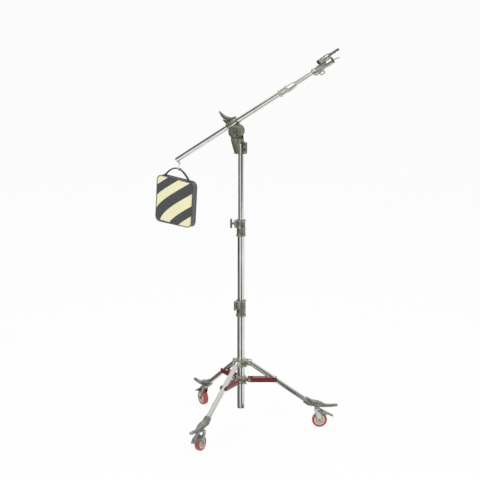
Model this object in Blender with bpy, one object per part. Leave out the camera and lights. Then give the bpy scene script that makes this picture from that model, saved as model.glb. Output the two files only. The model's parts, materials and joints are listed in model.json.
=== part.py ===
"""Wheeled boom stand: a three-stage column on three folding castered legs, with a tilting boom arm.

Units are metres and +Z is up. The floor is at z = 0. The column stands on its own axis while it is
modelled, and the whole stand is moved at the end so that the centre of its footprint is the origin.
Every moving piece is parented to an empty that stands on its joint's axis.
"""

import math

import bmesh
import bpy
from mathutils import Matrix, Vector

for old_object in list(bpy.data.objects):
    bpy.data.objects.remove(old_object, do_unlink=True)

# Fits
GAP = 0.0003
SCREW_RADIUS = 0.004
PIN_HOLE = SCREW_RADIUS + GAP
WELD = 0.00002

# Facets
TUBE_SIDES = 20
BOLT_SIDES = 10
WHEEL_SIDES = 24
CORE_SIDES = 16
ARC_STEPS = 5

# Column tubes
TUBE_WALL = 0.0015
STAGE1_RADIUS = 0.019
STAGE2_RADIUS = STAGE1_RADIUS - TUBE_WALL - GAP
STAGE3_RADIUS = 0.014
STAGE1_BOTTOM = 0.100
STAGE1_LENGTH = 0.521
STAGE2_LENGTH = 0.600
STAGE3_LENGTH = 0.660
STAGE2_DRAWN_OUT = 0.407
STAGE3_DRAWN_OUT = 0.414
BUSH_LENGTH = 0.030
STAGE1_TOP = STAGE1_BOTTOM + STAGE1_LENGTH
STAGE2_TOP = STAGE1_TOP + STAGE2_DRAWN_OUT
STAGE3_TOP = STAGE2_TOP + STAGE3_DRAWN_OUT

# Column collars and their T-handles
COLLAR_SLEEVE = 0.045
COLLAR_HEAD = 0.037
COLLAR_WALL = 0.004
COLLAR_FLANGE = 0.0065
COLLAR_FLANGE_HEIGHT = 0.008
COLLAR_BLOCK_WIDTH = 0.022
COLLAR_BLOCK_REACH = 0.015
COLLAR_LOWER_AZIMUTH = math.radians(233)
COLLAR_UPPER_AZIMUTH = math.radians(180)
HANDLE_BOSS_RADIUS = 0.008
HANDLE_BOSS_LENGTH = 0.006
HANDLE_NECK = 0.004
HANDLE_BAR_RADIUS = 0.0055
HANDLE_BAR_LENGTH = 0.049

# Legs, braces and hubs
LEG_NAMES = ("right", "back", "front")
LEG_COUNT = len(LEG_NAMES)
LEG_RADIUS = 0.0125
LEG_WALL = 0.002
LEG_SLOPE = math.radians(35)
LEG_TO_SOCKET = 0.337
LEG_PLUG = 0.030
PIVOT_RADIUS = 0.042
HUB_WALL = 0.005
UPPER_HUB_HEIGHT = 0.043
LOWER_HUB_HEIGHT = 0.038
EAR_THICKNESS = 0.004
EAR_REACH = 0.0095
EAR_HALF_HEIGHT = 0.013
LUG_HALF_WIDTH = LEG_RADIUS
LUG_HALF_HEIGHT = 0.0085
PIN_HEAD_RADIUS = 0.007
PIN_HEAD_HEIGHT = 0.005
BRACE_LENGTH = 0.127
BRACE_SHEET = 0.003
BRACE_RISE = 0.012
BRACE_DROP = 0.011
BRACE_WEB_START = 0.017
BRACE_WEB_END_CLEAR = 0.042
RIVET_RADIUS = 0.0055
RIVET_HEIGHT = 0.003
HUB_SCREW_AZIMUTH = math.radians(300)
HUB_SCREW_LENGTH = 0.020
HUB_BOSS_RADIUS = 0.009
HUB_BOSS_REACH = 0.006
HUB_WING_SPAN = 0.026
HUB_WING_HEIGHT = 0.012
HUB_WING_THICKNESS = 0.004

# Foot castings
SOCKET_HEIGHT = 0.1437
SOCKET_WALL = 0.0045
SOCKET_DEPTH = 0.030
SOCKET_TO_STEM = 0.062
DOME_HEIGHT = 0.121
DOME_HALF_WIDTH = 0.0185
DOME_HALF_HEIGHT = 0.0155
LEVER_LENGTH = 0.1025
LEVER_HEIGHT = 0.112
LEVER_HALF_THICKNESS = 0.0078
STEM_BOSS_RADIUS = 0.0125
STEM_BOSS_BOTTOM = 0.0985
STEM_RADIUS = 0.005
STEM_LENGTH = 0.016
FOOT_SIDES = 14

# Casters
WHEEL_RADIUS = 0.0375
TYRE_HALF_WIDTH = 0.0125
TYRE_INNER_RADIUS = 0.0263
CORE_HALF_WIDTH = 0.0115
CORE_WEB_HALF = 0.006
CORE_RIM_INNER = 0.0205
CORE_BOSS_RADIUS = 0.010
CORE_BOSS_HALF = 0.0134
CASTER_TRAIL = 0.0125
FORK_SHEET = 0.0025
FORK_TOP_SHEET = 0.0030
FORK_TOP_REAR = 0.014
FORK_TOP_FRONT = 0.016
FORK_EYE_RADIUS = 0.0085
AXLE_HEAD_RADIUS = 0.0065
AXLE_HEAD_HEIGHT = 0.004
PEDAL_PIVOT_X = 0.009
PEDAL_PIVOT_DROP = 0.010
PEDAL_SLOPE = math.radians(27)
PEDAL_START = 0.018
PEDAL_LENGTH = 0.079
PEDAL_SHEET = 0.0025
PEDAL_CHEEK_DROP = 0.012
PEDAL_CHEEK_END = 0.052
PEDAL_TIP_HALF_WIDTH = 0.012
PEDAL_STUB_RADIUS = 0.0025
SHOE_START = 0.026
SHOE_END = 0.038
SHOE_CLEARANCE = 0.003

# Head on top of the column
HEAD_AZIMUTH = math.radians(20)
TILT_X = -0.0231
TILT_HEIGHT = 0.060
SLEEVE_RADIUS = 0.020
SLEEVE_DEPTH = 0.048
SLEEVE_CAP = 0.008
NECK_HALF_WIDTH = 0.022
CHEEK_HALF_WIDTH = 0.025
CHEEK_RADIUS = 0.0335
CLAMP_REACH = 0.011
CLAMP_HALF_WIDTH = 0.013
CLAMP_SLIT_HALF = 0.001
CLAMP_BOLT_X = 0.0240
CLAMP_BOLT_SPACING = 0.026
CLAMP_BOLT_RADIUS = 0.003
CLAMP_BOLT_HEAD_RADIUS = 0.005
CLAMP_BOLT_HEAD_HEIGHT = 0.004
TILT_PIN_RADIUS = 0.005
TILT_PIN_HEAD_RADIUS = 0.010
TILT_PIN_HEAD_HEIGHT = 0.005
TILT_Z = STAGE3_TOP + TILT_HEIGHT

# Boom jaw
BOOM_TILT = math.radians(34.1)
BOOM_RISE = 0.039
BOOM_RADIUS = 0.0125
BOOM_WALL = 0.0012
JAW_REAR = -0.022
JAW_FRONT = 0.034
JAW_HALF_WIDTH = 0.024
JAW_TOP_WALL = 0.0025
JAW_SPLIT_HALF = 0.0004
TONGUE_RADIUS = CHEEK_RADIUS - 0.0005
TONGUE_HALF_WIDTH = BOOM_RADIUS + GAP
SLOT_HALF_WIDTH = TONGUE_HALF_WIDTH + GAP
WING_X = -0.002
WING_RISE = 0.0285
WING_LEAN = math.radians(41.5)
WING_BOSS_RADIUS = 0.008
WING_SEAT = -0.004
WING_STEM_LENGTH = 0.010
WING_HALF_WIDTH = 0.0062

# Boom arm, measured along the boom from the point above the tilt pin
BOOM_REAR_END = -0.3516
BOOM_COLLAR_START = 0.290
BOOM_COLLAR_LENGTH = 0.099
BOOM_COLLAR_SLEEVE = 0.046
BOOM_COLLAR_RADIUS = 0.0180
BOOM_COLLAR_WAIST = 0.0155
BOOM_COLLAR_SLIM = 0.0136
LEVER_HALF_WIDTH = 0.0055
BOOM_PLUG = 0.014
FRONT_TUBE_HIDDEN = 0.430
TIP_CLAMP_START = 0.490
TIP_CLAMP_LENGTH = 0.1157
TIP_CLAMP_RADIUS = 0.0165
TIP_END_WALL = 0.008
SPIGOT_RADIUS = 0.008
SPIGOT_NECK_RADIUS = 0.0062
SPIGOT_RISE = 0.0266
SPIGOT_START = 0.537
SPIGOT_SHOULDER = 0.609
SPIGOT_NECK_LENGTH = 0.042
SPIGOT_BALL_RADIUS = 0.0060
SPIGOT_HOLDER_START = 0.555
SPIGOT_HOLDER_INSET = 0.0027
SPIGOT_HOLDER_WALL = 0.0035
CAP_WALL = 0.0015
CAP_LENGTH = 0.012
TIP_HANDLE_X = 0.515
TIP_HANDLE_ARM = 0.0225
TIP_HANDLE_LOOP_LENGTH = 0.027
TIP_HANDLE_LOOP_DROP = 0.016
TIP_HANDLE_WIRE = 0.0022
END_PIN_DROP = 0.003
END_PIN_LENGTH = 0.036

# Hook and sandbag
EYE_X = -0.346
EYE_DROP = 0.0185
EYE_HOLE = 0.0028
EYE_LUG_RADIUS = 0.0056
EYE_LUG_HALF_WIDTH = 0.002
HOOK_WIRE = 0.002
HOOK_RING_RADIUS = 0.0068
HOOK_BEND_RADIUS = 0.0095
HOOK_BEND_DROP = 0.029
BAG_YAW = math.radians(40)
BAG_ROLL = math.radians(4)
BAG_WIDTH = 0.238
BAG_SLIP = 0.012
BAG_HEIGHT = 0.234
BAG_THICKNESS = 0.036
BAG_CORNER = 0.028
BAG_EDGE_ROUND = 0.006
STRAP_WIDTH = 0.010
STRAP_THICKNESS = 0.005
STRAP_SPAN = 0.165
STRAP_RISE = 0.046
STRAP_POWER = 1.8
STRAP_STEPS = 16

# Places that follow from the sizes above
LEG_PIVOT_Z = SOCKET_HEIGHT + LEG_TO_SOCKET * math.sin(LEG_SLOPE)
BRACE_Z = LEG_PIVOT_Z - BRACE_LENGTH * math.tan(LEG_SLOPE)
STEM_R = PIVOT_RADIUS + LEG_TO_SOCKET * math.cos(LEG_SLOPE) + SOCKET_TO_STEM
HUB_BORE = STAGE1_RADIUS + GAP
HUB_RADIUS = HUB_BORE + HUB_WALL
EAR_INNER = LEG_RADIUS + GAP
EAR_OUTER = EAR_INNER + EAR_THICKNESS
CHEEK_INNER = LEG_RADIUS + GAP
CHEEK_OUTER = CHEEK_INNER + BRACE_SHEET
FORK_INNER = CORE_BOSS_HALF + GAP
FORK_OUTER = FORK_INNER + FORK_SHEET
FORK_TOP = STEM_BOSS_BOTTOM - GAP
BOOM_COLLAR_END = BOOM_COLLAR_START + BOOM_COLLAR_LENGTH
BOOM_FRONT_END = BOOM_COLLAR_START + BOOM_COLLAR_SLEEVE - GAP
FRONT_TUBE_RADIUS = BOOM_RADIUS - BOOM_WALL - GAP
TIP_CLAMP_END = TIP_CLAMP_START + TIP_CLAMP_LENGTH
SPIGOT_HOLDER_END = TIP_CLAMP_END - SPIGOT_HOLDER_INSET
FRONT_TUBE_END = TIP_CLAMP_END - TIP_END_WALL - GAP
HOOK_INSIDE = HOOK_BEND_RADIUS - HOOK_WIRE
STRAP_DROP = math.sqrt((HOOK_INSIDE - 2 * GAP) ** 2 - (STRAP_WIDTH / 2) ** 2)

# Directions for meshes that are turned about Z
ALONG_X = Matrix.Rotation(math.radians(90), 4, "Y")
ALONG_Y = Matrix.Rotation(math.radians(-90), 4, "X")

# Looks: colour, roughness, metallic
CHROME = ((0.62, 0.62, 0.60), 0.18, 1.0)
CASTING = ((0.44, 0.43, 0.38), 0.55, 0.8)
HANDLE_METAL = ((0.38, 0.37, 0.33), 0.50, 0.8)
RED_PAINT = ((0.42, 0.02, 0.05), 0.35, 0.2)
BOLT_STEEL = ((0.60, 0.60, 0.58), 0.30, 1.0)
FORK_STEEL = ((0.66, 0.68, 0.66), 0.32, 1.0)
PEDAL_STEEL = ((0.40, 0.40, 0.41), 0.45, 0.9)
RED_TYRE = ((0.45, 0.05, 0.07), 0.40, 0.0)
CREAM_PLASTIC = ((0.85, 0.78, 0.62), 0.50, 0.0)
BLACK_RUBBER = ((0.03, 0.03, 0.03), 0.70, 0.0)
BAG_CLOTH = ((0.12, 0.12, 0.13), 0.90, 0.0)
STRAP_CLOTH = ((0.03, 0.03, 0.03), 0.90, 0.0)


def finished(bm, matrix=None):
    """Close a bmesh into a mesh with its faces pointing out, moved by matrix."""
    bmesh.ops.recalc_face_normals(bm, faces=bm.faces)
    mesh = bpy.data.meshes.new("shape")
    bm.to_mesh(mesh)
    bm.free()
    if matrix is not None:
        mesh.transform(matrix)
    return mesh


def arc(centre_x, centre_z, radius, start, end, steps=ARC_STEPS):
    """Points on a circular arc from start to end degrees, both ends included."""
    angles = [math.radians(start + (end - start) * step / steps) for step in range(steps + 1)]
    return [(centre_x + radius * math.cos(a), centre_z + radius * math.sin(a)) for a in angles]


def turned(profile, sides=TUBE_SIDES, matrix=None):
    """Turn a profile of (radius, z) points about Z; a profile off the axis is closed on itself."""
    bm = bmesh.new()
    verts = [bm.verts.new((radius, 0.0, z)) for radius, z in profile]
    edges = [bm.edges.new(pair) for pair in zip(verts, verts[1:])]
    if profile[0][0] > 0.0:
        edges.append(bm.edges.new((verts[-1], verts[0])))
    bmesh.ops.spin(bm, geom=verts + edges, cent=(0, 0, 0), axis=(0, 0, 1), angle=math.tau,
                   steps=sides, use_merge=True)
    bmesh.ops.remove_doubles(bm, verts=bm.verts, dist=1e-6)
    return finished(bm, matrix)


def rod(radius, start, end, sides=TUBE_SIDES, matrix=None):
    """A solid round bar along Z."""
    return turned([(0, start), (radius, start), (radius, end), (0, end)], sides, matrix)


def pipe(outer, inner, start, end, sides=TUBE_SIDES, matrix=None):
    """A round tube along Z, open at both ends."""
    return turned([(outer, start), (outer, end), (inner, end), (inner, start)], sides, matrix)


def prism(outline, y_start, y_end, matrix=None):
    """Extrude an outline of (x, z) points along Y."""
    bm = bmesh.new()
    face = bm.faces.new([bm.verts.new((x, y_start, z)) for x, z in outline])
    grown = bmesh.ops.extrude_face_region(bm, geom=[face])["geom"]
    moved = [item for item in grown if isinstance(item, bmesh.types.BMVert)]
    bmesh.ops.translate(bm, verts=moved, vec=(0, y_end - y_start, 0))
    return finished(bm, matrix)


def box(x_range, y_range, z_range, matrix=None):
    """A rectangular block between three pairs of limits."""
    (x0, x1), (z0, z1) = x_range, z_range
    return prism([(x0, z0), (x1, z0), (x1, z1), (x0, z1)], *y_range, matrix)


def loft(sections, matrix=None):
    """Skin a row of closed sections, each a list of as many points, and cap both ends."""
    bm = bmesh.new()
    rings = [[bm.verts.new(point) for point in section] for section in sections]
    for ring, following in zip(rings, rings[1:]):
        count = len(ring)
        for index in range(count):
            nearby = (index + 1) % count
            bm.faces.new((ring[index], ring[nearby], following[nearby], following[index]))
    bm.faces.new(rings[0])
    bm.faces.new(rings[-1])
    return finished(bm, matrix)


def oval(x, z, half_width, half_height, slope, sides=FOOT_SIDES):
    """An oval section across a line in the XZ plane that falls at slope radians."""
    points = []
    for index in range(sides):
        angle = math.tau * index / sides
        lift = half_height * math.sin(angle)
        points.append((x + lift * math.sin(slope), half_width * math.cos(angle), z + lift * math.cos(slope)))
    return points


def copied(mesh, matrix):
    """A copy of a mesh moved by matrix."""
    moved = mesh.copy()
    moved.transform(matrix)
    return moved


def welded(mesh):
    """Merge the points that a Boolean leaves on top of each other, and drop slivers."""
    bm = bmesh.new()
    bm.from_mesh(mesh)
    bmesh.ops.remove_doubles(bm, verts=bm.verts, dist=WELD)
    bmesh.ops.dissolve_degenerate(bm, edges=bm.edges, dist=WELD)
    bm.to_mesh(mesh)
    bm.free()
    return mesh


def combined(base, operation, others):
    """Join or cut a mesh with other meshes, one exact Boolean after another, and return the new mesh."""
    for other in others:
        body = bpy.data.objects.new("body", base)
        tool = bpy.data.objects.new("tool", other)
        for item in (body, tool):
            bpy.context.collection.objects.link(item)
        modifier = body.modifiers.new("combine", "BOOLEAN")
        modifier.solver = "EXACT"
        modifier.operation = operation
        modifier.object = tool
        bpy.context.view_layer.update()
        evaluated = body.evaluated_get(bpy.context.evaluated_depsgraph_get())
        base = welded(bpy.data.meshes.new_from_object(evaluated))
        for item in (body, tool):
            bpy.data.objects.remove(item, do_unlink=True)
    return base


def joined(base, *others):
    """The union of several meshes."""
    return combined(base, "UNION", others)


def carved(base, *others):
    """A mesh with the other meshes cut out of it."""
    return combined(base, "DIFFERENCE", others)


def pivot(name, parent=None, location=(0, 0, 0), rotation=(0, 0, 0)):
    """An empty on a joint's axis, which carries the pieces that move with it."""
    empty = bpy.data.objects.new(name, None)
    empty.empty_display_size = 0.02
    empty.parent = parent
    empty.location = location
    empty.rotation_euler = rotation
    bpy.context.collection.objects.link(empty)
    return empty


def piece(name, mesh, parent, look, location=(0, 0, 0), rotation=(0, 0, 0)):
    """One sub-part: an object with its own material, carried by its parent empty."""
    colour, roughness, metallic = look
    material = bpy.data.materials.new(name)
    material.use_nodes = True
    shader = material.node_tree.nodes["Principled BSDF"]
    shader.inputs["Base Color"].default_value = (*colour, 1.0)
    shader.inputs["Roughness"].default_value = roughness
    shader.inputs["Metallic"].default_value = metallic
    obj = bpy.data.objects.new(name, mesh)
    mesh.materials.clear()
    mesh.materials.append(material)
    mesh.shade_smooth()
    mesh.set_sharp_from_angle(angle=math.radians(35))
    obj.parent = parent
    obj.location = location
    obj.rotation_euler = rotation
    bpy.context.collection.objects.link(obj)
    return obj


def bolt(shank_radius, half_span, head_radius, head_height, sides=BOLT_SIDES, matrix=None):
    """A through bolt with a head at one end and a nut at the other, centred on the origin along Z."""
    reach = half_span + head_height
    profile = [(0, -reach), (head_radius, -reach), (head_radius, -half_span), (shank_radius, -half_span)]
    profile += [(shank_radius, half_span), (head_radius, half_span), (head_radius, reach), (0, reach)]
    return turned(profile, sides, matrix)


def stage_tube(name, parent, radius, top, length, bush_radius, look):
    """A column tube, with a guide bush round its foot where it slides in a wider tube."""
    bottom = top - length
    inner = radius - TUBE_WALL
    if bush_radius > radius:
        profile = [(bush_radius, bottom), (bush_radius, bottom + BUSH_LENGTH), (radius, bottom + BUSH_LENGTH)]
    else:
        profile = [(radius, bottom)]
    profile += [(radius, top), (inner, top), (inner, bottom)]
    return piece(name, turned(profile), parent, look)


def collar(name, parent, tube_radius, rising_radius, shoulder, azimuth):
    """A locking collar on top of a column tube, with a block for its T-handle screw."""
    bottom = shoulder - COLLAR_SLEEVE
    top = shoulder + COLLAR_HEAD
    body = tube_radius + COLLAR_WALL
    flange = tube_radius + COLLAR_FLANGE
    profile = [(0, bottom), (flange, bottom), (flange, bottom + COLLAR_FLANGE_HEIGHT)]
    profile += [(body, bottom + COLLAR_FLANGE_HEIGHT), (body, top - COLLAR_FLANGE_HEIGHT)]
    profile += [(flange, top - COLLAR_FLANGE_HEIGHT), (flange, top), (0, top)]
    turn = Matrix.Rotation(azimuth, 4, "Z")
    half = COLLAR_BLOCK_WIDTH / 2
    block = box((0, tube_radius + COLLAR_BLOCK_REACH), (-half, half), (shoulder - 0.002, top - 0.001), turn)
    screw_height = shoulder + COLLAR_HEAD / 2
    hole = rod(PIN_HOLE, 0, 0.1, BOLT_SIDES, turn @ Matrix.Translation((0, 0, screw_height)) @ ALONG_X)
    sleeve_bore = rod(tube_radius + GAP, bottom - 0.01, shoulder + GAP)
    head_bore = rod(rising_radius + GAP, bottom, top + 0.01)
    mesh = carved(joined(turned(profile), block), sleeve_bore, head_bore, hole)
    return piece(name, mesh, parent, CASTING)


def collar_handle(name, parent, tube_radius, rising_radius, shoulder, azimuth):
    """The T-handle screw of a collar, which presses on the tube that rises through the collar."""
    axis = pivot(name + "_axis", parent, (0, 0, shoulder + COLLAR_HEAD / 2), (0, 0, azimuth))
    seat = tube_radius + COLLAR_BLOCK_REACH + GAP
    neck = seat + HANDLE_BOSS_LENGTH
    bar = neck + HANDLE_NECK + HANDLE_BAR_RADIUS
    profile = [(0, rising_radius + GAP), (SCREW_RADIUS, rising_radius + GAP), (SCREW_RADIUS, seat)]
    profile += [(HANDLE_BOSS_RADIUS, seat), (HANDLE_BOSS_RADIUS, neck), (SCREW_RADIUS, neck)]
    profile += [(SCREW_RADIUS, bar), (0, bar)]
    half = HANDLE_BAR_LENGTH / 2
    tip = HANDLE_BAR_RADIUS * 0.7
    ends = [(0, -half), (tip, -half), (HANDLE_BAR_RADIUS, tip - half), (HANDLE_BAR_RADIUS, half - tip)]
    ends += [(tip, half), (0, half)]
    grip = turned(ends, BOLT_SIDES, Matrix.Translation((bar, 0, 0)))
    return piece(name, joined(turned(profile, BOLT_SIDES, ALONG_X), grip), axis, HANDLE_METAL)


def hub_screw(name, parent, height):
    """The wing screw that locks a hub on the column tube."""
    axis = pivot(name + "_axis", parent, (0, 0, height), (0, 0, HUB_SCREW_AZIMUTH))
    seat = HUB_RADIUS + HUB_BOSS_REACH + GAP
    shank = turned([(0, STAGE1_RADIUS + GAP), (SCREW_RADIUS, STAGE1_RADIUS + GAP), (SCREW_RADIUS, seat),
                    (HANDLE_BOSS_RADIUS, seat), (HANDLE_BOSS_RADIUS, seat + HANDLE_BOSS_LENGTH),
                    (0, seat + HANDLE_BOSS_LENGTH)], BOLT_SIDES, ALONG_X)
    start = seat + HANDLE_BOSS_LENGTH / 2
    end = start + HUB_SCREW_LENGTH
    half = HUB_WING_SPAN / 2
    outline = [(start, -HUB_WING_HEIGHT / 2), (end, -half), (end, -half / 2), (start + HUB_SCREW_LENGTH / 2, 0)]
    outline += [(end, half / 2), (end, half), (start, HUB_WING_HEIGHT / 2)]
    wings = prism(outline, -HUB_WING_THICKNESS / 2, HUB_WING_THICKNESS / 2)
    return piece(name, joined(shank, wings), axis, HANDLE_METAL)


def hub_body(height, centre):
    """The plain ring of a hub with the boss of its locking screw, before its bores are cut."""
    ring = rod(HUB_RADIUS, centre - height / 2, centre + height / 2, WHEEL_SIDES)
    turn = Matrix.Rotation(HUB_SCREW_AZIMUTH, 4, "Z") @ Matrix.Translation((0, 0, centre)) @ ALONG_X
    boss = rod(HUB_BOSS_RADIUS, STAGE1_RADIUS, HUB_RADIUS + HUB_BOSS_REACH, BOLT_SIDES, turn)
    hole = rod(PIN_HOLE, 0, 0.1, BOLT_SIDES, turn)
    bore = rod(HUB_BORE, centre - height, centre + height)
    return joined(ring, boss), (bore, hole)


def leg_turns():
    """The three directions of the legs round the column."""
    return [Matrix.Rotation(math.tau * index / LEG_COUNT, 4, "Z") for index in range(LEG_COUNT)]


def upper_hub(parent):
    """The sliding hub: a ring with three pairs of ears that hold the tops of the legs."""
    ring, cuts = hub_body(UPPER_HUB_HEIGHT, 0.0)
    outline = [(HUB_BORE, EAR_HALF_HEIGHT)] + [(HUB_BORE, -EAR_HALF_HEIGHT)]
    outline += arc(PIVOT_RADIUS, 0, EAR_HALF_HEIGHT, -90, 90, 8)
    ears = prism(outline, -EAR_OUTER, EAR_OUTER)
    slot = box((HUB_RADIUS, PIVOT_RADIUS * 2), (-EAR_INNER, EAR_INNER), (-0.05, 0.05))
    hole = rod(PIN_HOLE, -0.03, 0.03, BOLT_SIDES, Matrix.Translation((PIVOT_RADIUS, 0, 0)) @ ALONG_Y)
    mesh = joined(ring, *[copied(ears, turn) for turn in leg_turns()])
    cutters = [copied(slot, turn) for turn in leg_turns()] + [copied(hole, turn) for turn in leg_turns()]
    mesh = carved(mesh, *cutters, *cuts)
    return piece("upper_hub", mesh, parent, CASTING)


def lower_hub(parent):
    """The fixed hub: a ring with three lugs that carry the inner ends of the braces."""
    ring, cuts = hub_body(LOWER_HUB_HEIGHT, BRACE_Z)
    outline = [(HUB_BORE, BRACE_Z + LUG_HALF_HEIGHT), (HUB_BORE, BRACE_Z - LUG_HALF_HEIGHT)]
    outline += arc(PIVOT_RADIUS, BRACE_Z, LUG_HALF_HEIGHT, -90, 90, 8)
    lug = prism(outline, -LUG_HALF_WIDTH, LUG_HALF_WIDTH)
    place = Matrix.Translation((PIVOT_RADIUS, 0, BRACE_Z)) @ ALONG_Y
    hole = rod(PIN_HOLE, -0.03, 0.03, BOLT_SIDES, place)
    mesh = joined(ring, *[copied(lug, turn) for turn in leg_turns()])
    mesh = carved(mesh, *[copied(hole, turn) for turn in leg_turns()], *cuts)
    return piece("lower_hub", mesh, parent, CASTING)


def leg_mesh():
    """A leg tube along X from its pivot, with a solid round top and an open lower end."""
    end = LEG_TO_SOCKET + SOCKET_DEPTH - GAP
    profile = [(0, -LEG_RADIUS)] + arc(0, 0, LEG_RADIUS, -90, 0, 3)[1:]
    profile += [(LEG_RADIUS, end), (LEG_RADIUS - LEG_WALL, end), (LEG_RADIUS - LEG_WALL, LEG_PLUG)]
    profile += [(0, LEG_PLUG)]
    hole = rod(PIN_HOLE, -0.03, 0.03, BOLT_SIDES, ALONG_Y)
    return carved(turned(profile, TUBE_SIDES, ALONG_X), hole)


def foot_mesh():
    """A foot casting round the end of a leg: socket, dome over the swivel, and a foot lever."""
    slope = LEG_SLOPE
    socket = LEG_RADIUS + SOCKET_WALL
    stem_x = STEM_R - PIVOT_RADIUS

    def on_leg(distance, radius):
        return oval(distance * math.cos(slope), -distance * math.sin(slope), radius, radius, slope)

    def past_stem(offset, height, half_width, half_height, fall):
        return oval(stem_x + offset, height - LEG_PIVOT_Z, half_width, half_height, math.radians(fall))

    lever_end = LEVER_LENGTH
    lever = LEVER_HALF_THICKNESS
    sections = [
        on_leg(LEG_TO_SOCKET, socket),
        on_leg(LEG_TO_SOCKET + SOCKET_DEPTH * 0.5, socket + 0.0008),
        on_leg(LEG_TO_SOCKET + SOCKET_DEPTH, socket + 0.001),
        past_stem(-0.020, DOME_HEIGHT + 0.003, DOME_HALF_WIDTH, DOME_HALF_HEIGHT + 0.0012, 18),
        past_stem(0.0, DOME_HEIGHT, DOME_HALF_WIDTH, DOME_HALF_HEIGHT, 9),
        past_stem(0.016, DOME_HEIGHT - 0.004, DOME_HALF_WIDTH * 0.87, DOME_HALF_HEIGHT * 0.88, 14),
        past_stem(0.034, LEVER_HEIGHT - 0.0005, DOME_HALF_WIDTH * 0.62, lever + 0.0015, 7),
        past_stem(0.060, LEVER_HEIGHT - 0.0015, lever + 0.001, lever, 0),
        past_stem(lever_end - 0.004, LEVER_HEIGHT + 0.0005, lever + 0.0008, lever - 0.0005, -2),
        past_stem(lever_end, LEVER_HEIGHT + 0.0007, lever - 0.0012, lever - 0.0025, -2),
    ]
    body = loft(sections)
    boss_bottom = STEM_BOSS_BOTTOM - LEG_PIVOT_Z
    at_stem = Matrix.Translation((stem_x, 0, boss_bottom))
    boss = rod(STEM_BOSS_RADIUS, 0, DOME_HEIGHT - STEM_BOSS_BOTTOM, CORE_SIDES, at_stem)
    stem_hole = rod(STEM_RADIUS + GAP, -0.01, STEM_LENGTH + GAP, BOLT_SIDES, at_stem)
    along_leg = Matrix.Rotation(slope, 4, "Y") @ ALONG_X
    socket_bore = rod(LEG_RADIUS + GAP, LEG_TO_SOCKET - 0.02, LEG_TO_SOCKET + SOCKET_DEPTH, TUBE_SIDES, along_leg)
    return carved(joined(body, boss), socket_bore, stem_hole)


def brace_mesh():
    """A brace: a channel with its web on top, open round both pivots, and rivet heads outside."""
    end = BRACE_LENGTH
    outline = arc(0, 0, BRACE_DROP, 180, 270) + arc(end, 0, BRACE_DROP, 270, 360)
    outline += [(end + BRACE_DROP, BRACE_RISE * 0.5), (end + BRACE_DROP * 0.6, BRACE_RISE)]
    outline += [(-BRACE_DROP * 0.6, BRACE_RISE), (-BRACE_DROP, BRACE_RISE * 0.5)]
    body = prism(outline, -CHEEK_OUTER, CHEEK_OUTER)
    web_end = end - BRACE_WEB_END_CLEAR
    under_web = BRACE_RISE - BRACE_SHEET
    hollow = [(-0.05, -0.05), (end + 0.05, -0.05), (end + 0.05, 0.05), (web_end, 0.05), (web_end, under_web)]
    hollow += [(BRACE_WEB_START, under_web), (BRACE_WEB_START, 0.05), (-0.05, 0.05)]
    inner_hole = rod(PIN_HOLE, -0.03, 0.03, BOLT_SIDES, ALONG_Y)
    at_end = Matrix.Translation((end, 0, 0)) @ ALONG_Y
    head = CHEEK_OUTER + RIVET_HEIGHT
    middle = (CHEEK_INNER + CHEEK_OUTER) / 2
    heads = [rod(RIVET_RADIUS, low, high, BOLT_SIDES, at_end) for low, high in ((-head, -middle), (middle, head))]
    channel = carved(body, prism(hollow, -CHEEK_INNER, CHEEK_INNER), inner_hole)
    return joined(channel, *heads)


def fork_mesh():
    """A caster fork with its swivel stem; x = 0 is the swivel axis and z = 0 the floor."""
    under = FORK_TOP - FORK_TOP_SHEET
    outline = [(-FORK_TOP_REAR, FORK_TOP), (-FORK_TOP_REAR, under - 0.004)]
    outline += arc(CASTER_TRAIL, WHEEL_RADIUS, FORK_EYE_RADIUS, 180, 360, 8)
    outline += [(CASTER_TRAIL + FORK_EYE_RADIUS * 0.7, under - 0.024), (FORK_TOP_FRONT, under - 0.004)]
    outline += [(FORK_TOP_FRONT, FORK_TOP)]
    body = prism(outline, -FORK_OUTER, FORK_OUTER)
    slot = box((-0.05, 0.05), (-FORK_INNER, FORK_INNER), (-0.01, under))
    stem = rod(STEM_RADIUS, FORK_TOP - 0.001, STEM_BOSS_BOTTOM + STEM_LENGTH, BOLT_SIDES)
    axle_place = Matrix.Translation((CASTER_TRAIL, 0, WHEEL_RADIUS)) @ ALONG_Y
    axle_hole = rod(PIN_HOLE, -0.03, 0.03, BOLT_SIDES, axle_place)
    pedal_place = Matrix.Translation((PEDAL_PIVOT_X, 0, FORK_TOP - PEDAL_PIVOT_DROP)) @ ALONG_Y
    pedal_hole = rod(PEDAL_STUB_RADIUS + GAP, -0.03, 0.03, BOLT_SIDES, pedal_place)
    return joined(carved(body, slot, axle_hole, pedal_hole), stem)


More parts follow.
